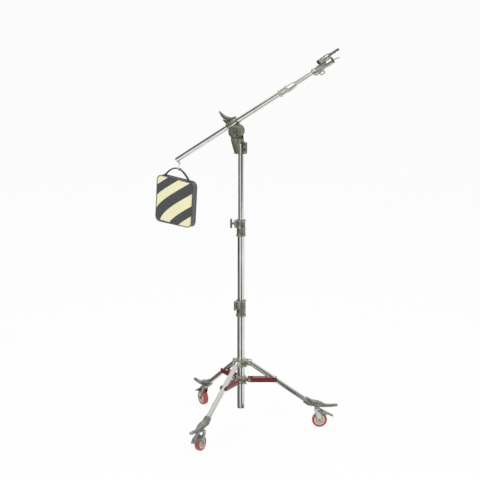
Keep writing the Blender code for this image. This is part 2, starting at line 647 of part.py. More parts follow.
def pedal_mesh():
    """A brake pedal along X from its pivot: sloping plate, two cheeks, two stubs and a shoe."""
    inner = FORK_OUTER + GAP
    outer = inner + PEDAL_SHEET
    top = PEDAL_SHEET + 0.002
    plate = [(PEDAL_START, -outer), (PEDAL_START, outer), (PEDAL_CHEEK_END, outer)]
    plate += [(PEDAL_LENGTH, PEDAL_TIP_HALF_WIDTH), (PEDAL_LENGTH, -PEDAL_TIP_HALF_WIDTH)]
    plate += [(PEDAL_CHEEK_END, -outer)]
    flat = Matrix.Rotation(math.radians(-90), 4, "X")
    body = prism([(x, y) for x, y in plate], top - PEDAL_SHEET, top, Matrix.Scale(-1, 4, (0, 0, 1)) @ flat)
    cheek = arc(0, 0, 0.006, 90, 225) + [(PEDAL_START, -PEDAL_CHEEK_DROP), (PEDAL_CHEEK_END, top - PEDAL_SHEET)]
    cheek += [(PEDAL_CHEEK_END, top - 0.0005), (PEDAL_START, top - 0.0005)]
    left = prism(cheek, inner, outer - 0.0002)
    right = prism(cheek, 0.0002 - outer, -inner)
    stub = FORK_INNER + 0.0005
    stubs = [rod(PEDAL_STUB_RADIUS, low, high, BOLT_SIDES, ALONG_Y)
             for low, high in ((-outer + 0.001, -stub), (stub, outer - 0.001))]
    return joined(body, left, right, *stubs, shoe_mesh(top))


def shoe_mesh(top):
    """The brake shoe under the pedal plate, just clear of the tyre."""
    wheel = Vector((CASTER_TRAIL - PEDAL_PIVOT_X, WHEEL_RADIUS - (FORK_TOP - PEDAL_PIVOT_DROP)))
    centre = Matrix.Rotation(PEDAL_SLOPE, 2) @ wheel
    reach = WHEEL_RADIUS + SHOE_CLEARANCE
    outline = [(SHOE_END, top - 0.001), (SHOE_START, top - 0.001)]
    for step in range(5):
        x = SHOE_START + (SHOE_END - SHOE_START) * step / 4
        outline.append((x, centre.y + math.sqrt(reach ** 2 - (x - centre.x) ** 2)))
    return prism(outline, -TYRE_HALF_WIDTH, TYRE_HALF_WIDTH)


def tyre_mesh():
    """A tyre turned about Y with rounded shoulders."""
    half = TYRE_HALF_WIDTH
    side = [(TYRE_INNER_RADIUS, half - 0.001), (WHEEL_RADIUS - 0.004, half), (WHEEL_RADIUS - 0.001, half - 0.002)]
    side += [(WHEEL_RADIUS, half - 0.005)]
    profile = side + [(radius, -z) for radius, z in reversed(side)]
    return turned(profile, WHEEL_SIDES, ALONG_Y)


def core_mesh():
    """The wheel's plastic core: a bored boss, a web and a rim, turned about Y."""
    rim = TYRE_INNER_RADIUS - GAP
    side = [(PIN_HOLE, CORE_BOSS_HALF), (CORE_BOSS_RADIUS, CORE_BOSS_HALF), (CORE_BOSS_RADIUS + 0.001, CORE_WEB_HALF)]
    side += [(CORE_RIM_INNER, CORE_WEB_HALF), (CORE_RIM_INNER + 0.001, CORE_HALF_WIDTH), (rim, CORE_HALF_WIDTH)]
    profile = side + [(radius, -z) for radius, z in reversed(side)]
    return turned(profile, CORE_SIDES, ALONG_Y)


def build_legs(root, hub_axis):
    """Three legs with their braces, foot castings and casters."""
    shared = {"leg": leg_mesh(), "foot": foot_mesh(), "brace": brace_mesh(), "fork": fork_mesh()}
    shared.update({"pedal": pedal_mesh(), "tyre": tyre_mesh(), "core": core_mesh()})
    shared["leg_pin"] = bolt(SCREW_RADIUS, EAR_OUTER + GAP, PIN_HEAD_RADIUS, PIN_HEAD_HEIGHT, matrix=ALONG_Y)
    shared["brace_pin"] = bolt(SCREW_RADIUS, CHEEK_OUTER + GAP, PIN_HEAD_RADIUS, PIN_HEAD_HEIGHT, matrix=ALONG_Y)
    shared["axle"] = bolt(SCREW_RADIUS, FORK_OUTER + GAP, AXLE_HEAD_RADIUS, AXLE_HEAD_HEIGHT, matrix=ALONG_Y)
    for index, side in enumerate(LEG_NAMES):
        azimuth = math.tau * index / LEG_COUNT
        outward = Vector((math.cos(azimuth), math.sin(azimuth), 0)) * PIVOT_RADIUS
        leg = pivot(f"leg_{side}_axis", hub_axis, outward, (0, 0, azimuth))
        piece(f"leg_tube_{side}", shared["leg"].copy(), leg, CHROME, rotation=(0, LEG_SLOPE, 0))
        piece(f"foot_casting_{side}", shared["foot"].copy(), leg, CASTING)
        piece(f"leg_pin_{side}", shared["leg_pin"].copy(), hub_axis, BOLT_STEEL, outward, (0, 0, azimuth))
        inner_end = outward + Vector((0, 0, BRACE_Z))
        brace = pivot(f"brace_{side}_axis", root, inner_end, (0, 0, azimuth))
        piece(f"brace_{side}", shared["brace"].copy(), brace, RED_PAINT)
        piece(f"brace_pin_{side}", shared["brace_pin"].copy(), root, BOLT_STEEL, inner_end, (0, 0, azimuth))
        swivel = pivot(f"caster_{side}_axis", leg, (STEM_R - PIVOT_RADIUS, 0, -LEG_PIVOT_Z))
        piece(f"caster_fork_{side}", shared["fork"].copy(), swivel, FORK_STEEL)
        wheel = pivot(f"wheel_{side}_axis", swivel, (CASTER_TRAIL, 0, WHEEL_RADIUS))
        piece(f"caster_tyre_{side}", shared["tyre"].copy(), wheel, RED_TYRE)
        piece(f"caster_core_{side}", shared["core"].copy(), wheel, CREAM_PLASTIC)
        piece(f"caster_axle_{side}", shared["axle"].copy(), wheel, BOLT_STEEL)
        hinge = (PEDAL_PIVOT_X, 0, FORK_TOP - PEDAL_PIVOT_DROP)
        pedal = pivot(f"pedal_{side}_axis", swivel, hinge)
        piece(f"brake_pedal_{side}", shared["pedal"].copy(), pedal, PEDAL_STEEL, rotation=(0, PEDAL_SLOPE, 0))


def build_column(root):
    """The three tubes with their collars, handles and hubs; returns the empties that carry the rest."""
    stage_tube("column_tube_lower", root, STAGE1_RADIUS, STAGE1_TOP, STAGE1_LENGTH, 0.0, CHROME)
    lower_hub(root)
    hub_screw("lower_hub_screw", root, BRACE_Z)
    collar("collar_lower", root, STAGE1_RADIUS, STAGE2_RADIUS, STAGE1_TOP, COLLAR_LOWER_AZIMUTH)
    collar_handle("collar_handle_lower", root, STAGE1_RADIUS, STAGE2_RADIUS, STAGE1_TOP, COLLAR_LOWER_AZIMUTH)
    hub_axis = pivot("upper_hub_axis", root, (0, 0, LEG_PIVOT_Z))
    upper_hub(hub_axis)
    hub_screw("upper_hub_screw", hub_axis, 0.0)
    middle = pivot("middle_stage_axis", root)
    stage_tube("column_tube_middle", middle, STAGE2_RADIUS, STAGE2_TOP, STAGE2_LENGTH, 0.0, CHROME)
    collar("collar_upper", middle, STAGE2_RADIUS, STAGE3_RADIUS, STAGE2_TOP, COLLAR_UPPER_AZIMUTH)
    collar_handle("collar_handle_upper", middle, STAGE2_RADIUS, STAGE3_RADIUS, STAGE2_TOP, COLLAR_UPPER_AZIMUTH)
    top = pivot("top_stage_axis", middle)
    bush = STAGE2_RADIUS - TUBE_WALL - GAP
    stage_tube("column_tube_top", top, STAGE3_RADIUS, STAGE3_TOP, STAGE3_LENGTH, bush, CHROME)
    return hub_axis, top


def receiver_mesh():
    """The head casting: a clamped sleeve, a leaning neck and two round cheeks."""
    bottom = STAGE3_TOP - SLEEVE_DEPTH
    top = STAGE3_TOP + SLEEVE_CAP
    crotch = TILT_Z - CHEEK_RADIUS - 0.001
    centre = Matrix.Translation((TILT_X, 0, TILT_Z)) @ ALONG_Y
    sleeve = rod(SLEEVE_RADIUS, bottom, top, TUBE_SIDES)
    left, right = TILT_X - 0.020, TILT_X + 0.030
    root_outline = [(-SLEEVE_RADIUS - 0.005, bottom + 0.0005), (0.006, bottom + 0.0005), (right, top)]
    root_outline += [(right, crotch), (left - 0.001, crotch), (left, crotch - 0.012)]
    shapes = [prism(root_outline, -NECK_HALF_WIDTH, NECK_HALF_WIDTH)]
    arm = [(left, crotch - 0.006), (right - 0.001, crotch - 0.006), (right - 0.002, crotch + 0.014)]
    arm += [(TILT_X + 0.012, TILT_Z - 0.013), (TILT_X - 0.022, TILT_Z - 0.012)]
    inner = SLOT_HALF_WIDTH
    for low, high in ((inner, NECK_HALF_WIDTH - 0.0005), (0.0005 - NECK_HALF_WIDTH, -inner)):
        shapes.append(prism(arm, low, high))
    for low, high in ((inner + GAP, CHEEK_HALF_WIDTH), (-CHEEK_HALF_WIDTH, -inner - GAP)):
        shapes.append(pipe(CHEEK_RADIUS, TILT_PIN_RADIUS + GAP, low, high, WHEEL_SIDES, centre))
    reach = SLEEVE_RADIUS + CLAMP_REACH
    shapes.append(box((0.0, reach), (-CLAMP_HALF_WIDTH, CLAMP_HALF_WIDTH), (bottom + 0.001, top - 0.002)))
    bore = rod(STAGE3_RADIUS + GAP, bottom - 0.01, STAGE3_TOP + GAP, TUBE_SIDES)
    slit = box((STAGE3_RADIUS - 0.002, reach + 0.01), (-CLAMP_SLIT_HALF, CLAMP_SLIT_HALF), (bottom - 0.01, STAGE3_TOP))
    holes = []
    for height in clamp_bolt_heights():
        place = Matrix.Translation((CLAMP_BOLT_X, 0, height)) @ ALONG_Y
        holes.append(rod(CLAMP_BOLT_RADIUS + GAP, -0.05, 0.05, BOLT_SIDES, place))
    return carved(joined(sleeve, *shapes), bore, slit, *holes)


def clamp_bolt_heights():
    """The heights of the two bolts that close the head's sleeve."""
    middle = STAGE3_TOP - SLEEVE_DEPTH / 2
    return (middle + CLAMP_BOLT_SPACING / 2, middle - CLAMP_BOLT_SPACING / 2)


def boom_bore(radius, start=-0.1, end=0.1):
    """A cutter along the boom, in the jaw's frame."""
    return rod(radius, start, end, TUBE_SIDES, Matrix.Translation((0, 0, BOOM_RISE)) @ ALONG_X)


def jaw_mesh():
    """The lower jaw: a round tongue on the tilt pin and a saddle under the boom."""
    split = BOOM_RISE - JAW_SPLIT_HALF
    tongue = rod(TONGUE_RADIUS, -TONGUE_HALF_WIDTH, TONGUE_HALF_WIDTH, WHEEL_SIDES, ALONG_Y)
    outline = [(JAW_REAR, split), (JAW_REAR, 0.020), (0.0, 0.0), (0.026, 0.012), (JAW_FRONT, split)]
    riser = prism(outline, -TONGUE_HALF_WIDTH + 0.0002, TONGUE_HALF_WIDTH - 0.0002)
    shelf = box((JAW_REAR, JAW_FRONT), (-JAW_HALF_WIDTH, JAW_HALF_WIDTH), (CHEEK_RADIUS + GAP, split))
    pin_hole = rod(TILT_PIN_RADIUS + GAP, -0.05, 0.05, 16, ALONG_Y)
    return carved(joined(tongue, riser, shelf), boom_bore(BOOM_RADIUS + GAP), pin_hole)


def wing_place():
    """The frame of the wing handle: Z along its screw."""
    return Matrix.Translation((WING_X, 0, BOOM_RISE + WING_RISE)) @ Matrix.Rotation(WING_LEAN, 4, "Y")


def cap_mesh():
    """The upper jaw over the boom, with the boss of the wing handle."""
    low = BOOM_RISE + JAW_SPLIT_HALF
    top = BOOM_RISE + BOOM_RADIUS + JAW_TOP_WALL
    outline = [(JAW_REAR, low), (JAW_FRONT, low), (JAW_FRONT, top - 0.0005), (0.006, top)]
    outline += [(-0.004, top + 0.002), (-0.010, top + 0.004), (JAW_REAR, top)]
    body = prism(outline, -JAW_HALF_WIDTH, JAW_HALF_WIDTH)
    boss = rod(WING_BOSS_RADIUS, -0.016, WING_SEAT - GAP, 16, wing_place())
    shoulder = [(JAW_REAR + 0.0005, BOOM_RADIUS + 0.001), (0.003, BOOM_RADIUS + 0.001), (0.0008, 0.0185), (-0.0285, 0.0440)]
    back = prism([(x, BOOM_RISE + z) for x, z in shoulder], -0.0095, 0.0095)
    hole = rod(PIN_HOLE, WING_SEAT - WING_STEM_LENGTH - GAP, 0.05, BOLT_SIDES, wing_place())
    return carved(joined(body, boss, back), boom_bore(BOOM_RADIUS + GAP), hole)


def wing_mesh():
    """The wing handle: two curved horns of unlike length on a hub with a screw."""
    def across(x, z, radius, slope):
        return oval(x, z, min(radius * 0.9, WING_HALF_WIDTH), radius, math.radians(slope), 10)

    horns = loft([
        across(-0.0527, 0.0298, 0.0028, 38), across(-0.047, 0.0242, 0.0046, 40),
        across(-0.037, 0.0145, 0.0074, 34), across(-0.024, 0.0072, 0.0090, 18),
        across(-0.010, 0.0048, 0.0082, 6), across(0.004, 0.0044, 0.0076, -6), across(0.015, 0.0070, 0.0062, -20),
        across(0.027, 0.0142, 0.0048, -34), across(0.0345, 0.0215, 0.0030, -40)])
    hub = turned([(0, WING_SEAT - WING_STEM_LENGTH), (SCREW_RADIUS, WING_SEAT - WING_STEM_LENGTH),
                  (SCREW_RADIUS, WING_SEAT), (0.009, WING_SEAT), (0.009, 0.006), (0, 0.006)], BOLT_SIDES)
    return joined(hub, horns)


def rear_tube_mesh():
    """The rear boom tube: open at the front, plugged at the rear, with an eye for the hook."""
    inner = BOOM_RADIUS - BOOM_WALL
    profile = [(0, BOOM_REAR_END), (BOOM_RADIUS, BOOM_REAR_END), (BOOM_RADIUS, BOOM_FRONT_END)]
    profile += [(inner, BOOM_FRONT_END), (inner, BOOM_REAR_END + BOOM_PLUG), (0, BOOM_REAR_END + BOOM_PLUG)]
    tube = turned(profile, TUBE_SIDES, ALONG_X)
    outline = arc(EYE_X, -EYE_DROP, EYE_LUG_RADIUS, 180, 360, 8)
    outline += [(EYE_X + EYE_LUG_RADIUS, -BOOM_RADIUS * 0.8), (EYE_X - EYE_LUG_RADIUS, -BOOM_RADIUS * 0.8)]
    lug = prism(outline, -EYE_LUG_HALF_WIDTH, EYE_LUG_HALF_WIDTH)
    eye = rod(EYE_HOLE, -0.01, 0.01, BOLT_SIDES, Matrix.Translation((EYE_X, 0, -EYE_DROP)) @ ALONG_Y)
    return carved(joined(tube, lug), eye)


def boom_collar_mesh():
    """The twist collar that locks the front boom tube in the rear one."""
    start, end = BOOM_COLLAR_START, BOOM_COLLAR_END
    ring = start + BOOM_COLLAR_SLEEVE
    big, waist, slim = BOOM_COLLAR_RADIUS, BOOM_COLLAR_WAIST, BOOM_COLLAR_SLIM
    profile = [(BOOM_RADIUS + GAP, start), (big, start), (big, start + 0.010), (waist + 0.0005, start + 0.012)]
    profile += [(waist + 0.0005, ring - 0.001), (big + 0.0005, ring + 0.001), (big + 0.0005, ring + 0.009)]
    profile += [(waist, ring + 0.011), (slim, end - 0.012), (slim, end)]
    profile += [(FRONT_TUBE_RADIUS + GAP, end), (FRONT_TUBE_RADIUS + GAP, ring), (BOOM_RADIUS + GAP, ring)]
    lever = [(ring + 0.008, -slim + 0.0005), (ring + 0.008, -big), (ring + 0.020, -big), (end - 0.003, -waist - 0.0005)]
    lever.append((end - 0.003, -slim + 0.0005))
    return joined(turned(profile, TUBE_SIDES, ALONG_X), prism(lever, -LEVER_HALF_WIDTH, LEVER_HALF_WIDTH))


def tip_clamp_mesh():
    """The clamp on the boom's tip: a stepped sleeve with a holder for the spigot on top."""
    start, end = TIP_CLAMP_START, TIP_CLAMP_END
    big = TIP_CLAMP_RADIUS
    bore = FRONT_TUBE_RADIUS + GAP
    profile = [(0, end - TIP_END_WALL), (bore, end - TIP_END_WALL), (bore, start), (big - 0.001, start)]
    profile += [(big - 0.001, start + 0.010), (big - 0.003, start + 0.012)]
    profile += [(big - 0.003, start + 0.030), (big, start + 0.033), (big, end - 0.032), (big + 0.0015, end - 0.030)]
    profile += [(big + 0.0015, end - 0.024), (big + 0.0005, end - 0.022), (big + 0.0005, end), (0, end)]
    body = turned(profile, TUBE_SIDES, ALONG_X)
    at_spigot = Matrix.Translation((0, 0, SPIGOT_RISE)) @ ALONG_X
    holder = rod(SPIGOT_RADIUS + SPIGOT_HOLDER_WALL, SPIGOT_HOLDER_START, SPIGOT_HOLDER_END, 16, at_spigot)
    saddle = box((SPIGOT_HOLDER_START + 0.001, SPIGOT_HOLDER_END - 0.001), (-0.008, 0.008), (bore + 0.002, SPIGOT_RISE))
    spigot_bore = rod(SPIGOT_RADIUS + GAP, 0, 1, 16, at_spigot)
    low = Matrix.Translation((TIP_HANDLE_X, 0, 0))
    screw_hole = rod(TIP_HANDLE_WIRE + 0.0004 + GAP, -0.05, 0, BOLT_SIDES, low)
    pin_hole = rod(TIP_HANDLE_WIRE + GAP, end - 0.004, end + 0.1, BOLT_SIDES,
                   Matrix.Translation((0, 0, -END_PIN_DROP)) @ ALONG_X)
    return carved(joined(body, holder, saddle), spigot_bore, screw_hole, pin_hole)


def spigot_mesh():
    """The spigot: a round bar with a shoulder, a thinner neck and a ball end."""
    ball = SPIGOT_SHOULDER + SPIGOT_NECK_LENGTH + SPIGOT_BALL_RADIUS * 0.8
    profile = [(0, SPIGOT_START), (SPIGOT_RADIUS, SPIGOT_START), (SPIGOT_RADIUS, SPIGOT_SHOULDER)]
    profile += [(SPIGOT_NECK_RADIUS, SPIGOT_SHOULDER), (SPIGOT_NECK_RADIUS, ball - SPIGOT_BALL_RADIUS)]
    profile += [(SPIGOT_NECK_RADIUS * 0.75, ball - SPIGOT_BALL_RADIUS * 0.8)]
    profile += [(SPIGOT_BALL_RADIUS, ball), (SPIGOT_BALL_RADIUS * 0.75, ball + SPIGOT_BALL_RADIUS * 0.65)]
    profile += [(0, ball + SPIGOT_BALL_RADIUS)]
    return turned(profile, 16, ALONG_X)


def spigot_cap_mesh():
    """The rubber cap on the spigot's rear end."""
    start = SPIGOT_START - GAP - CAP_WALL
    outer = SPIGOT_RADIUS + GAP + CAP_WALL
    profile = [(0, start), (outer - 0.001, start), (outer, start + 0.001), (outer, start + CAP_LENGTH)]
    profile += [(SPIGOT_RADIUS + GAP, start + CAP_LENGTH), (SPIGOT_RADIUS + GAP, SPIGOT_START - GAP)]
    profile += [(0, SPIGOT_START - GAP)]
    return turned(profile, 16, ALONG_X)


def tip_handle_mesh():
    """The handle under the tip clamp: a screw, a short arm and a D-shaped loop."""
    wire = TIP_HANDLE_WIRE
    seat = -TIP_CLAMP_RADIUS - 0.0006
    bar_z = seat - wire
    screw = rod(wire + 0.0004, bar_z - wire - 0.0005, -FRONT_TUBE_RADIUS - GAP, BOLT_SIDES)
    bar = rod(wire, -TIP_HANDLE_ARM, 0.006, BOLT_SIDES, Matrix.Translation((0, 0, bar_z)) @ ALONG_X)
    x0, x1 = 0.0012, TIP_HANDLE_LOOP_LENGTH
    z0, z1 = seat - TIP_HANDLE_LOOP_DROP, seat - 0.0004
    corner = 0.005
    outer = arc(x0 + corner, z0 + corner, corner, 180, 270, 3) + arc(x1 - corner, z0 + corner, corner, 270, 360, 3)
    outer += [(x1, z1), (x0, z1)]
    thick = 2 * wire
    inner_corner = corner - thick / 2
    inner = arc(x0 + corner, z0 + corner, inner_corner, 180, 270, 3)
    inner += arc(x1 - corner, z0 + corner, inner_corner, 270, 360, 3)
    inner += [(x1 - thick / 2, z1 - thick), (x0 + thick / 2, z1 - thick)]
    loop = carved(prism(outer, -wire * 0.9, wire * 0.9), prism(inner, -0.02, 0.02))
    return joined(screw, bar, loop)


def end_pin_mesh():
    """The bent release pin in the tip clamp's end face."""
    start = TIP_CLAMP_END - 0.003
    seat = TIP_CLAMP_END + GAP
    boss = turned([(0, start), (TIP_HANDLE_WIRE, start), (TIP_HANDLE_WIRE, seat), (0.0045, seat),
                   (0.0045, seat + 0.006), (0.003, seat + 0.008), (0, seat + 0.008)], BOLT_SIDES, ALONG_X)
    bend = math.radians(9)
    direction = Matrix.Translation((seat + 0.006, 0, 0)) @ Matrix.Rotation(bend, 4, "Y") @ ALONG_X
    lever = rod(0.0018, 0, END_PIN_LENGTH - 0.006, 8, direction)
    return joined(boss, lever)


def hook_mesh():
    """A bent wire hook: a ring through the boom's eye and a bend under the sandbag's strap."""
    points = []
    for step in range(13):
        angle = math.radians(60 + 300 * step / 12)
        points.append((0, HOOK_RING_RADIUS * math.sin(angle), -HOOK_RING_RADIUS - HOOK_RING_RADIUS * math.cos(angle)))
    turn = HEAD_AZIMUTH - BAG_YAW
    across = Vector((-math.sin(turn), math.cos(turn), 0))
    points.append(Vector((0, 0, -HOOK_BEND_DROP + 0.010)) - across * HOOK_BEND_RADIUS * 0.75)
    for step in range(9):
        angle = math.radians(180 + 200 * step / 8)
        side = across * HOOK_BEND_RADIUS * math.cos(angle)
        points.append(side + Vector((0, 0, -HOOK_BEND_DROP + HOOK_BEND_RADIUS * math.sin(angle))))
    curve = bpy.data.curves.new("hook", "CURVE")
    curve.dimensions = "3D"
    curve.bevel_depth = HOOK_WIRE
    curve.bevel_resolution = 2
    curve.use_fill_caps = True
    spline = curve.splines.new("POLY")
    spline.points.add(len(points) - 1)
    for target, point in zip(spline.points, points):
        target.co = (*point, 1.0)
    carrier = bpy.data.objects.new("hook_curve", curve)
    bpy.context.collection.objects.link(carrier)
    bpy.context.view_layer.update()
    mesh = bpy.data.meshes.new_from_object(carrier.evaluated_get(bpy.context.evaluated_depsgraph_get()))
    bpy.data.objects.remove(carrier, do_unlink=True)
    bm = bmesh.new()
    bm.from_mesh(mesh)
    bmesh.ops.remove_doubles(bm, verts=bm.verts, dist=1e-6)
    return finished(bm)


def bag_mesh():
    """The sandbag as a rounded slab, centred on the origin and facing along Y."""
    sections = []
    half = BAG_THICKNESS / 2
    for y, inset in ((-half, BAG_EDGE_ROUND), (-half + BAG_EDGE_ROUND, 0), (half - BAG_EDGE_ROUND, 0), (half, BAG_EDGE_ROUND)):
        radius = BAG_CORNER - inset
        x = BAG_WIDTH / 2 - BAG_CORNER
        z = BAG_HEIGHT / 2 - BAG_CORNER
        outline = arc(x, z, radius, 0, 90) + arc(-x, z, radius, 90, 180)
        outline += arc(-x, -z, radius, 180, 270) + arc(x, -z, radius, 270, 360)
        sections.append([(px, y, pz) for px, pz in outline])
    return loft(sections)


def strap_mesh():
    """The sandbag's carrying strap, an arch that stands on the top of the bag."""
    half_span = STRAP_SPAN / 2
    outer, inner = [], []
    for step in range(STRAP_STEPS + 1):
        share = -math.cos(math.pi * step / STRAP_STEPS)
        height = (1.0 - abs(share) ** STRAP_POWER) ** (1.0 / STRAP_POWER)
        outer.append((share * half_span, height * STRAP_RISE))
        inner.append((share * (half_span - STRAP_THICKNESS), height * (STRAP_RISE - STRAP_THICKNESS)))
    return prism(outer + inner[::-1], -STRAP_WIDTH / 2, STRAP_WIDTH / 2)


def build_head(top):
    """The head, the boom and everything that hangs on it."""
    pan = pivot("head_pan_axis", top, rotation=(0, 0, -HEAD_AZIMUTH))
    piece("head_receiver", receiver_mesh(), pan, CASTING)
    for name, height in zip(("head_bolt_upper", "head_bolt_lower"), clamp_bolt_heights()):
        screw = bolt(CLAMP_BOLT_RADIUS, CLAMP_HALF_WIDTH + GAP, CLAMP_BOLT_HEAD_RADIUS, CLAMP_BOLT_HEAD_HEIGHT,
                     matrix=ALONG_Y)
        piece(name, screw, pan, BOLT_STEEL, (CLAMP_BOLT_X, 0, height))
    tilt_pin = bolt(TILT_PIN_RADIUS, CHEEK_HALF_WIDTH + GAP, TILT_PIN_HEAD_RADIUS, TILT_PIN_HEAD_HEIGHT, 16, ALONG_Y)
    piece("tilt_pin", tilt_pin, pan, BOLT_STEEL, (TILT_X, 0, TILT_Z))
    tilt = pivot("boom_tilt_axis", pan, (TILT_X, 0, TILT_Z), (0, -BOOM_TILT, 0))
    piece("boom_jaw", jaw_mesh(), tilt, CASTING)
    piece("jaw_cap", cap_mesh(), tilt, CASTING)
    wing_location = (WING_X, 0, BOOM_RISE + WING_RISE)
    wing = pivot("wing_handle_axis", tilt, wing_location, (0, WING_LEAN, 0))
    piece("wing_handle", wing_mesh(), wing, HANDLE_METAL)
    boom = pivot("boom_slide_axis", tilt, (0, 0, BOOM_RISE))
    piece("boom_tube_rear", rear_tube_mesh(), boom, CHROME)
    piece("boom_collar", boom_collar_mesh(), boom, CASTING)
    front = pivot("boom_extend_axis", boom)
    start = BOOM_FRONT_END - FRONT_TUBE_HIDDEN
    tube = pipe(FRONT_TUBE_RADIUS, FRONT_TUBE_RADIUS - BOOM_WALL, start, FRONT_TUBE_END, TUBE_SIDES, ALONG_X)
    piece("boom_tube_front", tube, front, CHROME)
    piece("tip_clamp", tip_clamp_mesh(), front, CASTING)
    piece("tip_spigot", spigot_mesh(), front, BOLT_STEEL, (0, 0, SPIGOT_RISE))
    piece("spigot_cap", spigot_cap_mesh(), front, BLACK_RUBBER, (0, 0, SPIGOT_RISE))
    handle = pivot("tip_handle_axis", front, (TIP_HANDLE_X, 0, 0))
    piece("tip_handle", tip_handle_mesh(), handle, HANDLE_METAL)
    release = pivot("end_pin_axis", front, (0, 0, -END_PIN_DROP))
    piece("tip_end_pin", end_pin_mesh(), release, HANDLE_METAL)
    return boom


def build_sandbag(boom):
    """The hook, the sandbag and its strap, hanging plumb from the boom's rear end."""
    hook = pivot("hook_axis", boom, (EYE_X, 0, -EYE_DROP), (0, BOOM_TILT, 0))
    piece("bag_hook", hook_mesh(), hook, BOLT_STEEL)
    bag = pivot("sandbag_axis", hook, rotation=(0, 0, HEAD_AZIMUTH - BAG_YAW))
    inside_top = -HOOK_BEND_DROP - STRAP_DROP
    share = BAG_SLIP / (STRAP_SPAN / 2 - STRAP_THICKNESS)
    inside_rise = (1.0 - share ** STRAP_POWER) ** (1.0 / STRAP_POWER) * (STRAP_RISE - STRAP_THICKNESS)
    base = Vector((-inside_rise * math.sin(BAG_ROLL) - BAG_SLIP * math.cos(BAG_ROLL), 0,
                   inside_top - inside_rise * math.cos(BAG_ROLL) + BAG_SLIP * math.sin(BAG_ROLL)))
    roll = (0, BAG_ROLL, 0)
    piece("sandbag_strap", strap_mesh(), bag, STRAP_CLOTH, base, roll)
    drop = Vector((0, 0, -BAG_HEIGHT / 2 - GAP))
    drop.rotate(Matrix.Rotation(BAG_ROLL, 3, "Y"))
    piece("sandbag", bag_mesh(), bag, BAG_CLOTH, base + drop, roll)


def centre_on_floor(root):
    """Move the whole stand so that the centre of its footprint on the floor is the origin."""
    bpy.context.view_layer.update()
    corners = []
    for obj in bpy.data.objects:
        if obj.type == "MESH":
            corners += [obj.matrix_world @ vertex.co for vertex in obj.data.vertices]
    middle_x = (min(c.x for c in corners) + max(c.x for c in corners)) / 2
    middle_y = (min(c.y for c in corners) + max(c.y for c in corners)) / 2
    root.location = (-middle_x, -middle_y, -min(c.z for c in corners))
    bpy.context.view_layer.update()


stand = pivot("stand")
hub_carrier, top_stage = build_column(stand)
build_legs(stand, hub_carrier)
boom_arm = build_head(top_stage)
build_sandbag(boom_arm)
centre_on_floor(stand)
print("column axis at", [round(value, 6) for value in stand.location])
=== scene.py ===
"""The look of a wheeled boom stand: chrome tubes, cast fittings, red braces, and a striped sandbag.

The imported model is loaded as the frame. Each sub-assembly below is a class that holds its own sizes, builds
finer meshes in the places where the solids stand, and dresses them with a procedural finish. Units are
metres and +Z is up.
"""

import json
import logging
import math
from dataclasses import dataclass, field
from enum import Enum
from typing import Sequence

import bmesh
import bpy
from mathutils import Matrix, Vector

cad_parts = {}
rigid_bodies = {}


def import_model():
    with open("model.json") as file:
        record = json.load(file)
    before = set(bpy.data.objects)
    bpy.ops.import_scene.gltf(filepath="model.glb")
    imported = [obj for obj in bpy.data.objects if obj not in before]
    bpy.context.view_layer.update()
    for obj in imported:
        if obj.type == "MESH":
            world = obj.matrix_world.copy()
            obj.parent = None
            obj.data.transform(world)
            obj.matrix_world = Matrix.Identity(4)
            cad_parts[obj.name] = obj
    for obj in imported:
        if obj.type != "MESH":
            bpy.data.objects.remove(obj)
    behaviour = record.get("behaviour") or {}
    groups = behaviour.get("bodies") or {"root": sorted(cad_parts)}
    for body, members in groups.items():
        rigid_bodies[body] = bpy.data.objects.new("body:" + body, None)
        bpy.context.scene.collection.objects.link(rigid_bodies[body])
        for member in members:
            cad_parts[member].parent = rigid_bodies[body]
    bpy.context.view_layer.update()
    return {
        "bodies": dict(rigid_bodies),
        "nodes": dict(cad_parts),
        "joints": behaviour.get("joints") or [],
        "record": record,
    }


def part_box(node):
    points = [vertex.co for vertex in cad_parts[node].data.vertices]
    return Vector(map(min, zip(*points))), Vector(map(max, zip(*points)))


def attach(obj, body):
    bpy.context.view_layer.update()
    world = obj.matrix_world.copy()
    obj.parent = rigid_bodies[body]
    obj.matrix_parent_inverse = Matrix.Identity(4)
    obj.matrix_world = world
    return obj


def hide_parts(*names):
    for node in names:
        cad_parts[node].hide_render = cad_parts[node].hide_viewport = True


LOG = logging.getLogger("boom_stand")
IDENTITY = Matrix.Identity(4)
LEG_NAMES = ("right", "back", "front")
MERGE = 1e-6  # vertices of a turned profile closer than this, in metres, become one
WELD = 5e-6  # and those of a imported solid
SHARP_ANGLE = 38.0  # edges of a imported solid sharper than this, in degrees, are rounded
WHITE = (1.0, 1.0, 1.0, 1.0)
DARKNESS = (0.0, 0.0, 0.0, 1.0)

Shape = bmesh.types.BMesh
Socket = bpy.types.NodeSocket


def tone(code: str) -> tuple[float, float, float, float]:
    """Turn a colour written as six hexadecimal digits into linear light.

    Args:
        code: The colour, such as "d7d8d3".

    Returns:
        Red, green, blue and an alpha of 1.
    """
    channels = [int(code[start:start + 2], 16) / 255.0 for start in (0, 2, 4)]
    linear = [c / 12.92 if c <= 0.04045 else ((c + 0.055) / 1.055) ** 2.4 for c in channels]
    return (linear[0], linear[1], linear[2], 1.0)


def axis_turn(axis: str, degrees: float) -> Matrix:
    """A 4 by 4 rotation about one axis, in degrees."""
    return Matrix.Rotation(math.radians(degrees), 4, axis)


def place(x: float = 0.0, y: float = 0.0, z: float = 0.0) -> Matrix:
    """A 4 by 4 translation."""
    return Matrix.Translation((x, y, z))


ALONG_X = axis_turn("Y", 90)
ALONG_Y = axis_turn("X", -90)


